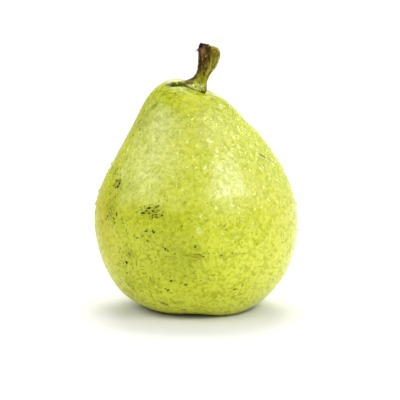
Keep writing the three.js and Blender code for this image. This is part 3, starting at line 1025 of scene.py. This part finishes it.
# %% The skin's ground
LEAF_GREEN, WARM_GREEN = srgb(148, 157, 12), srgb(170, 176, 16)
BASE_YELLOW, CROWN_GREEN = srgb(216, 224, 60), srgb(90, 104, 0)
SHADE_GREEN, SUN_YELLOW, GOLD = srgb(142, 154, 6), srgb(186, 183, 22), srgb(178, 158, 10)
# Each band has the heights where it starts and is full, in metres, its largest share, its colour.
# The bands are painted light and shade: lighter and yellower towards the base, deeper green towards the
# crown.
BANDS = [
    (0.056, 0.008, 0.9, BASE_YELLOW), (0.058, 0.082, 0.5, CROWN_GREEN),
    (0.0755, 0.082, 0.42, CROWN_GREEN), (0.0810, 0.0845, 0.7, CROWN_GREEN),
]
# The greener patches are partly painted shade.
PATCHES = [("shaded", 0.65, SHADE_GREEN), ("sunny", 0.6, SUN_YELLOW), ("golden", 0.6, GOLD)]

skin_finish, tree, shader, place = new_finish("pear skin")
up = add(tree, "ShaderNodeSeparateXYZ", {0: place}).outputs["Z"]
drift = mottled(tree, place, 0.022, 0.003, 0.55, 0.36, 0.64)
colour = mix_colour(tree, drift, LEAF_GREEN, WARM_GREEN)
colour = glaze(tree, colour, [
    (ramp(tree, up, start, full, 0.0, share), over) for start, full, share, over in BANDS])
colour = glaze(tree, colour, [
    (times(tree, field(tree, name), share, clamp=True), over) for name, share, over in PATCHES])
print("the ground has", len(BANDS), "bands and", len(PATCHES), "kinds of patch")

# %% [markdown]
# Over the ground lie three grains: blotches a few millimetres long, two sizes of pore, and a fine
# pale speckle. The pores are fainter above the belly.

# %% Blotches, pores and speckle
BLOTCH_GREEN, PORE_GREEN, SPECKLE = srgb(142, 153, 0), srgb(132, 144, 0), srgb(206, 209, 40)
ABOVE_BELLY = (0.030, 0.052)

blotches = mottled(tree, place, 0.0055, 0.0016, 0.62, 0.46, 0.62)
blotch_share = times(tree, blotches, ramp(tree, up, *ABOVE_BELLY, 0.7, 0.68))
pores = use_group(tree, dots, {"Place": place, "Spacing": 0.0015, "Size": 0.55, "Fading": 0.8})
large_pores = use_group(tree, dots, {"Place": place, "Spacing": 0.0023, "Size": 0.36, "Fading": 0.9})
pores = math_node(tree, "MAXIMUM", times(tree, pores, 0.6), times(tree, large_pores, 0.75))
pores = times(tree, pores, ramp(tree, up, *ABOVE_BELLY, 1.0, 0.55))
speckle = mottled(tree, place, 0.0018, 0.0007, 0.5, 0.38, 0.62)
colour = glaze(tree, colour, [
    (blotch_share, BLOTCH_GREEN), (times(tree, pores, 0.8), PORE_GREEN),
    (times(tree, speckle, 0.44), SPECKLE)])
print("blotches, pores and speckle bring the graph to", len(tree.nodes), "nodes")

# %% [markdown]
# The marks come next, the broad olive ones under the tan scratches and the dark russet. A shake much
# finer than the marks makes their rims ragged.

# %% Marks in the colour
OLIVE, TAN, RUSSET = srgb(102, 110, 0), srgb(118, 88, 20), srgb(50, 44, 2)
SHAKE = 1.6
CORES = (("olive", 0.0), ("tan", 0.4), ("dark", 0.5))

ragged = add(tree, "ShaderNodeTexNoise", {"Vector": place, "Scale": 1100.0, "Detail": 2.0}).outputs["Color"]
shake = add(tree, "ShaderNodeVectorMath", {0: ragged, 1: (0.5, 0.5, 0.5)}, operation="SUBTRACT").outputs[0]
shake = add(tree, "ShaderNodeVectorMath", {0: shake, "Scale": SHAKE}, operation="SCALE").outputs[0]
olive, tan, dark = (
    use_group(tree, mark, {
        "Frame": add(tree, "ShaderNodeAttribute", attribute_name=name).outputs["Vector"],
        "Shake": shake, "Core": core})
    for name, core in CORES
)
colour = glaze(tree, colour, [(olive, OLIVE), (tan, TAN), (dark, RUSSET)])
print(len(CORES), "kinds of mark are in the colour")

# %% [markdown]
# Round the stem the skin is olive at the root, darkened there by painted shade, pale with painted
# highlights behind the crease and on the far shoulder, and dark with painted shade in the crease
# itself, whose edges are torn by fine flecks. The painted sheen goes over everything.

# %% Colours round the stem
FLECKS = (0.0011, 0.0005, 0.5, 0.38, 0.62)
# The root colours are olive skin with painted shade.
ROOT_OLIVE, ROOT_PALE = srgb(112, 120, 22), srgb(158, 164, 70)
# The crease colours are painted shade.
CREASE_DARK, CREASE_BROWN = srgb(28, 26, 0), srgb(80, 80, 10)
# The pale colours behind the crease and on the far shoulder are painted highlights.
BEHIND_PALE, SHOULDER_PALE, BLOOM = srgb(196, 198, 160), srgb(204, 210, 172), srgb(180, 176, 108)

flecks = mottled(tree, place, *FLECKS)
torn_edge = math_node(tree, "ADD", field(tree, "crease"), centred(tree, flecks, 0.5))
colour = glaze(tree, colour, [
    (times(tree, ramp(tree, field(tree, "root"), 0.15, 0.8), 0.85),
     mix_colour(tree, speckle, ROOT_OLIVE, ROOT_PALE)),
    (times(tree, field(tree, "behind"), 0.65), BEHIND_PALE),
    (times(tree, field(tree, "far_shoulder"), 0.45), SHOULDER_PALE),
    (ramp(tree, torn_edge, 0.2, 0.65), mix_colour(tree, flecks, CREASE_DARK, CREASE_BROWN)),
    (field(tree, "bloom"), BLOOM)])
tree.links.new(colour, shader.inputs["Base Color"])
print("the colour takes", len(tree.nodes), "nodes")

# %% [markdown]
# The wax is a clear coat over the colour. It is missing from pores and from dark and olive marks. It
# thins over blotches, between the speckles, on the flanks, on golden and dull patches and towards the
# crown. Low down it is also worn to the left of the middle.

# %% Wax
WORN_ACROSS, WORN_UP = (0.0, 0.026), (0.028, 0.046)

pits = times(tree, pores, 1.4, clamp=True)
pits = math_node(tree, "MAXIMUM", dark, pits)
pits = math_node(tree, "MAXIMUM", pits, times(tree, olive, 1.2, clamp=True))
across = add(tree, "ShaderNodeSeparateXYZ", {0: place}).outputs["X"]
worn = ramp(tree, across, *WORN_ACROSS, 0.5, 1.0)
worn = add(tree, "ShaderNodeMix", {0: ramp(tree, up, *WORN_UP), 2: worn, 3: 1.0}).outputs[0]
wax = math_node(tree, "SUBTRACT", 1.0, pits, clamp=True)
for kept in (
    ramp(tree, blotches, 0.0, 1.0, 1.0, 0.7),
    ramp(tree, speckle, 0.0, 1.0, 0.7, 1.0),
    ramp(tree, field(tree, "edge"), 0.0, 1.0, 1.0, 0.35),
    worn,
    ramp(tree, field(tree, "golden"), 0.2, 1.0, 1.0, 0.55),
    ramp(tree, up, 0.072, 0.083, 1.0, 0.12),
    ramp(tree, field(tree, "dull"), 0.0, 1.0, 1.0, 0.5),
):
    wax = times(tree, wax, kept)
tree.links.new(wax, shader.inputs["Coat Weight"])
shader.inputs["Coat Roughness"].default_value = 0.34
shader.inputs["Coat IOR"].default_value = 1.8
print("with its wax the finish takes", len(tree.nodes), "nodes")

# %% [markdown]
# Last come the shine under the wax and the bump. A fine grain roughens the skin, pores sink and dark
# marks stand up. A little light passes through the flesh below, and more of the red than the blue.

# %% Shine and bump
grain = add(tree, "ShaderNodeTexNoise", {"Vector": place, "Scale": 900.0, "Detail": 3.0}).outputs["Fac"]
tree.links.new(ramp(tree, grain, 0.3, 0.7, 0.26, 0.36), shader.inputs["Roughness"])
height = math_node(tree, "SUBTRACT", times(tree, grain, 0.5), times(tree, pores, 0.6))
height = math_node(tree, "ADD", height, times(tree, dark, 0.8))
bump = add(tree, "ShaderNodeBump", {"Height": height, "Strength": 0.5, "Distance": 0.0001})
tree.links.new(bump.outputs[0], shader.inputs["Normal"])
shader.inputs["Subsurface Weight"].default_value = 0.08
shader.inputs["Subsurface Radius"].default_value = (1.0, 0.8, 0.25)
shader.inputs["Subsurface Scale"].default_value = 0.003
shader.inputs["Specular IOR Level"].default_value = 0.02
skin.data.materials.append(skin_finish)
print("skin finish has", len(tree.nodes), "nodes")

# %% [markdown]
# ## The stem's finish
# The stem is green where it grows out of the fruit and dries to brown wood at the top, where the
# twig tore away. Grain runs along it, so its noise is squeezed as its wrinkles are. The change from
# green to brown is ragged. Painted shade brings it lower on the side away from the light, and there
# the wood is dark brown, while the lit side is painted a paler olive.

# %% Bark colours
BARK_GREENS = srgb(108, 108, 2), srgb(156, 154, 40)
BARK_BROWNS = srgb(42, 28, 0), srgb(88, 62, 8)
BARK_OLIVES = srgb(88, 78, 2), srgb(146, 134, 44)

stem_finish, tree, shader, place = new_finish("stem bark")
along_stem = add(tree, "ShaderNodeMapping", {"Vector": place, "Scale": (1.0, 1.0, SQUEEZE)}).outputs[0]
streaks = mottled(tree, along_stem, 0.0022, 0.0007, 0.5, 0.42, 0.58)
side = field(tree, "side")
green, brown, olive_side = (
    mix_colour(tree, streaks, *pair) for pair in (BARK_GREENS, BARK_BROWNS, BARK_OLIVES))
# Painted light and shade: paler olive on the side towards the light, dark brown on the side away.
upper = mix_colour(tree, ramp(tree, side, -0.3, 0.5), brown, olive_side)
shift = math_node(tree, "ADD", field(tree, "height"), centred(tree, streaks, 0.14))
shift = math_node(tree, "SUBTRACT", shift, times(tree, side, 0.09))
colour = mix_colour(tree, ramp(tree, shift, 0.30, 0.58), green, upper)
print("the bark's colours take", len(tree.nodes), "nodes")

# %% [markdown]
# Pale crumbs of old bark cling to the stem. A pale collar, broken by flecks, marks where it enters
# the fruit, and the edge of its foot is dark, with painted shade where the pit lies under its right
# side. Painted shade darkens the hollows between the wrinkles, the scar shows torn wood, and the tip
# is nearly black.

# %% Collar, foot and tip
CRUMB, HOLLOW, TIP = srgb(196, 184, 104), srgb(44, 28, 6), srgb(30, 12, 4)
COLLAR_PALES = srgb(178, 186, 94), srgb(232, 238, 172)
FOOT_DARKS = srgb(40, 30, 0), srgb(104, 92, 18)
TORN_WOOD = srgb(84, 54, 18), srgb(146, 106, 62)

crumbs = mottled(tree, place, 0.0014, 0.0006, 0.6, 0.54, 0.66)
flecks = mottled(tree, place, *FLECKS)
flecked = math_node(tree, "SUBTRACT", 0.85, times(tree, flecks, 0.5))
foot = math_node(tree, "ADD", field(tree, "foot"), centred(tree, flecks, 0.5, middle=0.4))
tip = math_node(tree, "ADD", field(tree, "tip"), times(tree, streaks, 0.2))
colour = glaze(tree, colour, [
    (times(tree, crumbs, 0.45), CRUMB),
    (times(tree, field(tree, "collar"), flecked), mix_colour(tree, crumbs, *COLLAR_PALES)),
    # the foot's dark edge, with painted shade from the pit
    (ramp(tree, foot, 0.25, 0.95), mix_colour(tree, flecks, *FOOT_DARKS)),
    # painted shade in the hollows between the wrinkles
    (times(tree, ramp(tree, field(tree, "hollow"), 0.1, 0.7), 0.7), HOLLOW),
    (times(tree, field(tree, "scar"), 0.9, clamp=True), mix_colour(tree, streaks, *TORN_WOOD)),
    (ramp(tree, tip, 0.45, 0.75), TIP)])
tree.links.new(colour, shader.inputs["Base Color"])
print("with collar, foot and tip they take", len(tree.nodes))

# %% [markdown]
# Bark is matt, a little smoother where the streaks are, and its fine grain is a bump.

# %% Bark grain
shader.inputs["Specular IOR Level"].default_value = 0.1
bark_grain = add(tree, "ShaderNodeTexNoise", {
    "Vector": along_stem, "Scale": 1500.0, "Detail": 4.0}).outputs["Fac"]
bump = add(tree, "ShaderNodeBump", {"Height": bark_grain, "Strength": 0.8, "Distance": 0.0003})
tree.links.new(bump.outputs[0], shader.inputs["Normal"])
tree.links.new(ramp(tree, streaks, 0.0, 1.0, 0.75, 0.55), shader.inputs["Roughness"])
stem.data.materials.append(stem_finish)
print("stem finish has", len(tree.nodes), "nodes")

# %% [markdown]
# The torn fibres are the same wood, dried dark. They need no bump, being so thin.

# %% Fibre finish
fibre_finish, tree, shader, place = new_finish("dry fibre")
streaks = mottled(tree, place, 0.0012, 0.0004)
colour = mix_colour(tree, streaks, srgb(26, 10, 4), srgb(84, 48, 22))
tree.links.new(colour, shader.inputs["Base Color"])
tree.links.new(ramp(tree, streaks, 0.0, 1.0, 0.85, 0.6), shader.inputs["Roughness"])
fibres.data.materials.append(fibre_finish)
print("the fibre finish has", len(tree.nodes), "nodes")

# %% [markdown]
# ## The dried flower underneath
# Under the fruit sit the five dried sepals of the flower it grew from. They are a thin star whose
# points droop and curl, so one sheet with a top and an underside does, crinkled by small waves.

# %% The calyx
SEPALS, SEPAL_LENGTH, SEPAL_THICKNESS, SEPAL_SHARPNESS, SEPAL_DROOP = 5, 5.0, 0.7, 1.5, 2.6
CALYX_RADIUS, CALYX_HEIGHT = 1.7, 5.4
CALYX_ROWS, CALYX_COLUMNS = 24, 200

angle = (np.arange(CALYX_COLUMNS) * 2 * np.pi / CALYX_COLUMNS)[None, :]
reach = np.linspace(0, 1, CALYX_ROWS)
reach = np.concatenate([reach, reach[::-1]])[:, None]
under = np.repeat([1.0, 0.0], CALYX_ROWS)[:, None]
across = np.abs((angle * SEPALS / (2 * np.pi) + 0.5) % 1 - 0.5) * 2
radius = reach * (CALYX_RADIUS + (SEPAL_LENGTH - CALYX_RADIUS) * (1 - across) ** SEPAL_SHARPNESS)
flat = np.stack([radius * np.cos(angle), radius * np.sin(angle), np.zeros_like(radius)], -1)
crinkle = 0.22 * waves(flat, 0.8, 3.0, 50, seed=11) * np.minimum(radius / CALYX_RADIUS, 1) - 0.12
height = CALYX_HEIGHT - SEPAL_DROOP * (radius / SEPAL_LENGTH) ** 2 - under * SEPAL_THICKNESS + crinkle
form = np.stack([flat[..., 0], flat[..., 1], height], -1)
form[..., :2] += centring
sepals = closed_piece("dried_sepals", form * MM)
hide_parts("calyx")
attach(sepals, "root")

# %% [markdown]
# Dry leaf tissue is brown, blotched and matt, and the same blotches bump it.

# %% Sepal finish
sepal_finish, tree, shader, place = new_finish("dried sepals")
patches = mottled(tree, place, 0.0025, 0.0006)
colour = mix_colour(tree, patches, srgb(44, 30, 16), srgb(104, 82, 48))
tree.links.new(colour, shader.inputs["Base Color"])
shader.inputs["Roughness"].default_value = 0.85
bump = add(tree, "ShaderNodeBump", {"Height": patches, "Strength": 0.7, "Distance": 0.0002})
tree.links.new(bump.outputs[0], shader.inputs["Normal"])
sepals.data.materials.append(sepal_finish)
print("the sepal finish has", len(tree.nodes), "nodes")

# %% [markdown]
# ## Water drops
# Drops bead on the wax as little caps. The larger ones have chosen places, and a fine spray between
# them is drawn at random. Each larger drop has a column and a row, half its width and half its height
# in millimetres, its rise, and its turn in degrees.

# %% The larger drops
LARGE_DROPS = [
    (199.6, 230.4, 1.2, 1.65, 0.7, 0), (155.2, 139.7, 1.4, 1.4, 0.6, 0),
    (159.0, 155.4, 0.8, 0.5, 0.4, 40), (132.5, 183.0, 0.65, 0.5, 0.4, 0),
    (142.5, 193.4, 0.35, 0.65, 0.35, 0), (123.4, 157.5, 0.35, 1.0, 0.4, 0),
    (148.4, 104.3, 0.3, 0.6, 0.35, 0), (146.4, 109.3, 0.35, 0.45, 0.3, 0),
    (169.6, 138.0, 0.4, 0.7, 0.4, 0), (149.3, 168.0, 0.9, 0.35, 0.35, 45),
    (152.0, 177.5, 0.45, 0.4, 0.35, 0), (173.0, 176.5, 0.8, 0.35, 0.35, 45),
    (188.0, 166.5, 0.9, 0.7, 0.5, 0), (195.2, 168.4, 0.35, 0.8, 0.35, 110),
    (183.4, 177.0, 0.4, 0.4, 0.35, 0), (177.0, 185.2, 0.6, 0.35, 0.35, 0),
    (197.5, 178.4, 0.6, 0.4, 0.35, 0), (204.3, 169.2, 0.55, 0.5, 0.4, 0),
    (222.0, 106.3, 1.6, 0.5, 0.45, -30), (220.0, 119.2, 1.3, 1.3, 0.6, 0),
    (244.3, 132.5, 0.5, 0.7, 0.45, 0), (232.0, 144.8, 0.65, 0.5, 0.45, 0),
    (225.4, 148.0, 0.5, 0.75, 0.45, 0), (240.4, 153.0, 0.85, 0.55, 0.5, -40),
    (251.0, 154.2, 0.55, 0.5, 0.45, 0), (222.7, 161.0, 0.5, 0.5, 0.4, 0),
    (216.0, 157.5, 0.8, 0.35, 0.35, -55), (230.4, 154.2, 1.3, 1.1, 0.4, 0),
    (260.8, 169.2, 0.7, 0.9, 0.5, 0), (249.9, 171.4, 0.8, 0.4, 0.4, -65),
    (216.0, 193.7, 0.45, 0.7, 0.4, 0), (231.0, 204.2, 0.45, 0.5, 0.4, 0),
    (246.2, 204.8, 0.5, 0.5, 0.4, 0), (280.4, 202.0, 0.5, 1.8, 0.45, 0),
    (291.3, 195.9, 0.35, 1.1, 0.4, 0), (210.0, 141.0, 1.3, 1.1, 0.4, 0),
    (207.0, 279.0, 0.8, 0.7, 0.35, 0), (133.2, 162.4, 0.6, 0.4, 0.4, 20),
    (168.8, 111.0, 0.5, 0.45, 0.35, 0),
]
print(len(LARGE_DROPS), "larger drops")

# %% [markdown]
# A cap is a disc of rings raised by the square root of one less its squared radius. It is slightly
# lopsided, and its rim dips just under the skin so no gap shows.

# %% A drop's form
BASE_RINGS, BASE_SINK, RIM_SINK, LOPSIDED = 2, 0.25, 0.15, 0.12


def cap_radii(rows):
    """The radii of a drop's rings: out over the base, then back over the cap as cos, from 1 to 0."""
    base = np.linspace(0, 1, BASE_RINGS + 1)[:-1]
    return np.concatenate([base, np.cos(np.linspace(0, np.pi / 2, rows))])


def drop_rings(place, facing_way, half_width, half_height, rise, turn, phase, rows, columns):
    """The rings of many drops at once, from the middle of the base to the top.

    With r from 0 to 1 and back over the base and the cap, a point is r (1 + 0.12 cos(2a + phase)) times
    the half width and half height in the skin's plane, turned in it, and rise sqrt(1 - r^2) above it.
    """
    r = cap_radii(rows)
    cap = np.sqrt(1 - r[BASE_RINGS:] ** 2) * (1 + RIM_SINK) - RIM_SINK
    lift = np.concatenate([np.full(BASE_RINGS, -BASE_SINK), cap])
    a = np.arange(columns) * 2 * np.pi / columns
    level = np.cross([0.0, 0.0, 1.0], facing_way)
    level /= np.linalg.norm(level, axis=-1, keepdims=True)
    up = np.cross(facing_way, level)
    turn = np.radians(turn)[:, None]
    level, up = level * np.cos(turn) + up * np.sin(turn), up * np.cos(turn) - level * np.sin(turn)
    wobble = 1 + LOPSIDED * np.cos(2 * a[None, :] + phase[:, None])
    wide = r[None, :, None] * (half_width[:, None] * np.cos(a) * wobble)[:, None, :]
    high = r[None, :, None] * (half_height[:, None] * np.sin(a) * wobble)[:, None, :]
    above = rise[:, None, None] * lift[None, :, None]
    parts = (wide, level), (high, up), (np.broadcast_to(above, wide.shape), facing_way)
    return place[:, None, None] + sum(part[..., None] * way[:, None, None] for part, way in parts)


LARGE_RINGS, SPRAY_RINGS = (10, 28), (4, 10)
places = [seen_at(column, row) for column, row, *_ in LARGE_DROPS]
sizes, turns = np.array(LARGE_DROPS)[:, 2:5] * MM, np.array(LARGE_DROPS)[:, 5]
draw = np.random.default_rng(21)
large = drop_rings(
    np.array([spot for spot, _ in places]), np.array([way for _, way in places]),
    sizes[:, 0], sizes[:, 1], sizes[:, 2], turns, draw.uniform(0, 6.28, len(places)), *LARGE_RINGS)
print("each larger drop has", large.shape[1], "rings of", large.shape[2], "points")

# %% [markdown]
# The spray is tried at many random places between the rings' points. A place is kept more often on
# the upper shoulders and to the right, less often near the axis, where the rings crowd, and never at
# the very top.

# %% The spray
SPRAY, TRIES = 420, 6000
LOWEST_ROW, TOP_MARGIN = 70, 14
row_at = draw.uniform(LOWEST_ROW, FRUIT_ROWS - TOP_MARGIN, TRIES)
column_at = draw.uniform(0, FRUIT_COLUMNS, TRIES)
i, j = row_at.astype(int), column_at.astype(int)
s, t = (row_at - i)[:, None], (column_at - j)[:, None]
beside = (j + 1) % FRUIT_COLUMNS
spots = (1 - s) * ((1 - t) * fruit_points[i, j] + t * fruit_points[i, beside])
spots += s * ((1 - t) * fruit_points[i + 1, j] + t * fruit_points[i + 1, beside])
ways = outwards[i, j]
height_mm = spots[:, 2] / MM
chance = fade(height_mm, 26, 60) * (0.2 + 0.8 * fade(ways[:, 0], -0.5, 0.5)) * fade(height_mm, 80, 70)
chance *= np.hypot(spots[:, 0], spots[:, 1]) / (38 * MM)
chosen = np.flatnonzero(draw.uniform(0, 1, TRIES) < chance)[:SPRAY]
radius = 0.32 + 0.6 * draw.uniform(0, 1, len(chosen)) ** 2.2
long = draw.uniform(0.9, 1.6, len(chosen))
spray = drop_rings(
    spots[chosen], ways[chosen], radius * MM, radius * long * MM, radius * 0.7 * MM,
    draw.uniform(-60, 60, len(chosen)), draw.uniform(0, 6.28, len(chosen)), *SPRAY_RINGS)
print(len(spray), "fine drops")

# %% [markdown]
# A drop gathers light like a lens: its side away from the key light glows, and the side towards it
# is darker. Both are painted into the drops' colour as a painted glow and painted shade, and a number
# stored on the drops says how far a point is to the glowing side.

# %% The drops' mesh
FAR_WAY = math.radians(230)


def far_side(count, rows, columns):
    """For each point of the drops, r cos(a - way): 1 on the rim farthest from the key light, -1 nearest."""
    turned = np.cos(np.arange(columns) * 2 * np.pi / columns - FAR_WAY)
    return np.tile(ring_values(cap_radii(rows)[:, None] * turned), count)


large_points = ring_points(large)
faces = ring_faces(*large.shape[1:3], len(large))
faces += ring_faces(*spray.shape[1:3], len(spray), first=len(large_points))
drops = new_piece("water_drops", np.concatenate([large_points, ring_points(spray)]), faces)
far = np.concatenate([far_side(len(large), *LARGE_RINGS), far_side(len(spray), *SPRAY_RINGS)])
add_field(drops, "far", far)
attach(drops, "root")

# %% [markdown]
# ## Water
# Clear water bends light and mirrors the lights. A path tracer finds its way through a drop only
# slowly, so shadow rays pass straight through, and so do most of the diffuse rays. Without that each
# drop would stand in a dark spot of its own. The tint is a green that brightens to a painted glow on
# the glowing side, under a faint mottled film of painted white sheen.

# %% Water finish
DIFFUSE_PASSES = 0.8
LENS_GREEN, LENS_GLOW, FILM = srgb(176, 194, 30), srgb(255, 255, 186), srgb(246, 250, 236)

water, tree, shader, place = new_finish("water")
shader.inputs["Transmission Weight"].default_value = 0.76
shader.inputs["IOR"].default_value = 1.42
shader.inputs["Metallic"].default_value = 0.0
film = mottled(tree, place, 0.004, 0.001)
# painted glow on the far side, darker green towards the key light, and a painted white sheen
lens = mix_colour(tree, ramp(tree, field(tree, "far"), -0.9, 0.5), LENS_GREEN, LENS_GLOW)
tree.links.new(mix_colour(tree, times(tree, film, 0.2), lens, FILM), shader.inputs["Base Color"])
tree.links.new(ramp(tree, film, 0.0, 1.0, 0.15, 0.26), shader.inputs["Roughness"])
clear = add(tree, "ShaderNodeBsdfTransparent")
rays = add(tree, "ShaderNodeLightPath")
straight = times(tree, rays.outputs["Is Diffuse Ray"], DIFFUSE_PASSES)
passing = math_node(tree, "MAXIMUM", rays.outputs["Is Shadow Ray"], straight)
both = add(tree, "ShaderNodeMixShader", {0: passing, 1: shader.outputs[0], 2: clear.outputs[0]})
output = next(node for node in tree.nodes if node.type == "OUTPUT_MATERIAL")
tree.links.new(both.outputs[0], output.inputs["Surface"])
drops.data.materials.append(water)
print("the water finish has", len(tree.nodes), "nodes")

# %% [markdown]
# ## The studio
# The pear stands on a round white sweep, pale and matt, so that it takes a soft shadow and throws
# some light back up under the belly.

# %% Floor
FLOOR_RADIUS, FLOOR_SIDES = 0.45, 128
turn = np.arange(FLOOR_SIDES) * 2 * np.pi / FLOOR_SIDES
floor_points = np.stack([np.cos(turn), np.sin(turn), np.zeros(FLOOR_SIDES)], 1) * FLOOR_RADIUS
floor_mesh = bpy.data.meshes.new("floor")
floor_mesh.from_pydata(floor_points.tolist(), [], [tuple(range(FLOOR_SIDES))])
floor = bpy.data.objects.new("floor", floor_mesh)
bpy.context.collection.objects.link(floor)
floor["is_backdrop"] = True
floor_finish, tree, shader, place = new_finish("white sweep")
paper = add(tree, "ShaderNodeTexNoise", {"Vector": place, "Scale": 60.0, "Detail": 3.0}).outputs["Fac"]
white = mix_colour(tree, paper, (0.62, 0.62, 0.61, 1), (0.65, 0.65, 0.64, 1))
tree.links.new(white, shader.inputs["Base Color"])
shader.inputs["Roughness"].default_value = 0.9
floor.data.materials.append(floor_finish)
print("the floor is", 2 * FLOOR_RADIUS, "m across")

# %% [markdown]
# Eight soft lights stand round the pear. The key is a long, low strip to the right, and a large,
# weaker box fills the left. A glow, a high box and a wing soften the edges of their reflections, two weak
# ones lift the front, and a strong panel high behind it lights the top and whitens the floor.

# %% Lights
LIGHT_DISTANCE, LIGHT_TARGET = 0.9, np.array([0, 0, 0.045])
# Each light has its azimuth and elevation in degrees, its width and height in metres, its radiance.
LIGHTS = {
    "right_box": (42, 39, 0.56, 0.15, 15.0),
    "right_glow": (56, 33, 1.10, 0.50, 0.85),
    "high_box": (76, 54, 0.80, 0.40, 1.2),
    "left_box": (-53, 40, 1.04, 0.50, 2.5),
    "front_high": (-6, 50, 0.44, 0.36, 0.4),
    "front_low": (26, 9, 0.90, 0.28, 1.0),
    "left_wing": (-106, 36, 0.86, 0.46, 1.8),
    "back_panel": (180, 56, 0.66, 0.80, 5.6),
}


def softbox(name, azimuth, elevation, width, height, radiance):
    """A rectangular light aimed at the pear's middle; power is radiance times area times pi."""
    light = bpy.data.lights.new(name, "AREA")
    light.shape = "RECTANGLE"
    light.size, light.size_y = width, height
    light.energy = radiance * width * height * math.pi
    lamp = bpy.data.objects.new(name, light)
    turn, tilt = math.radians(azimuth), math.radians(elevation)
    way = np.array([math.sin(turn) * math.cos(tilt), -math.cos(turn) * math.cos(tilt), math.sin(tilt)])
    lamp.location = LIGHT_TARGET + way * LIGHT_DISTANCE
    lamp.rotation_euler = (math.pi / 2 - tilt, 0, turn)
    bpy.context.collection.objects.link(lamp)
    return light.energy


for name, settings in LIGHTS.items():
    print(name, "gives", round(softbox(name, *settings), 2), "W")

# %% [markdown]
# The room is bright behind the pear and to its right, and grey towards the front left, so the skin's
# colour stays deep between the two main reflections. Seen directly, the room is plain white.

# %% Room
BRIGHT_WAY, ROOM_GREY, ROOM_BRIGHT, SEEN_WHITE = (0.65, 0.76, 0.0), 0.26, 1.3, 1.05
world = bpy.data.worlds.new("studio")
bpy.context.scene.world = world
world.use_nodes = True
tree = world.node_tree
tree.nodes.clear()
way = add(tree, "ShaderNodeTexCoord").outputs["Generated"]
towards = add(tree, "ShaderNodeVectorMath", {0: way, 1: BRIGHT_WAY}, operation="DOT_PRODUCT").outputs["Value"]
room = ramp(tree, towards, 0.0, 0.9, ROOM_GREY, ROOM_BRIGHT)
seen = add(tree, "ShaderNodeLightPath").outputs["Is Camera Ray"]
strength = add(tree, "ShaderNodeMix", {0: seen, 2: room, 3: SEEN_WHITE}).outputs[0]
background = add(tree, "ShaderNodeBackground", {"Color": (1, 1, 1, 1), "Strength": strength})
add(tree, "ShaderNodeOutputWorld", {"Surface": background.outputs[0]})

scene = bpy.context.scene
scene.view_settings.view_transform = "Standard"
scene.view_settings.look = "None"
scene.view_settings.exposure = 0.0
print("the room's light runs from", ROOM_GREY, "to", ROOM_BRIGHT)

# %% [markdown]
# ## The two boxes
# The dressed pear has to keep the solid's size, so both boxes are put side by side and printed.

# %% Sizes
bpy.context.view_layer.update()
dressed_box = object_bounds()
boxes = {
    "cad": [list(map(float, corner)) for corner in cad_box],
    "visual": [list(map(float, corner)) for corner in dressed_box],
}
for name, (low, high) in boxes.items():
    print(name, [round((b - a) / MM, 2) for a, b in zip(low, high)], "mm")
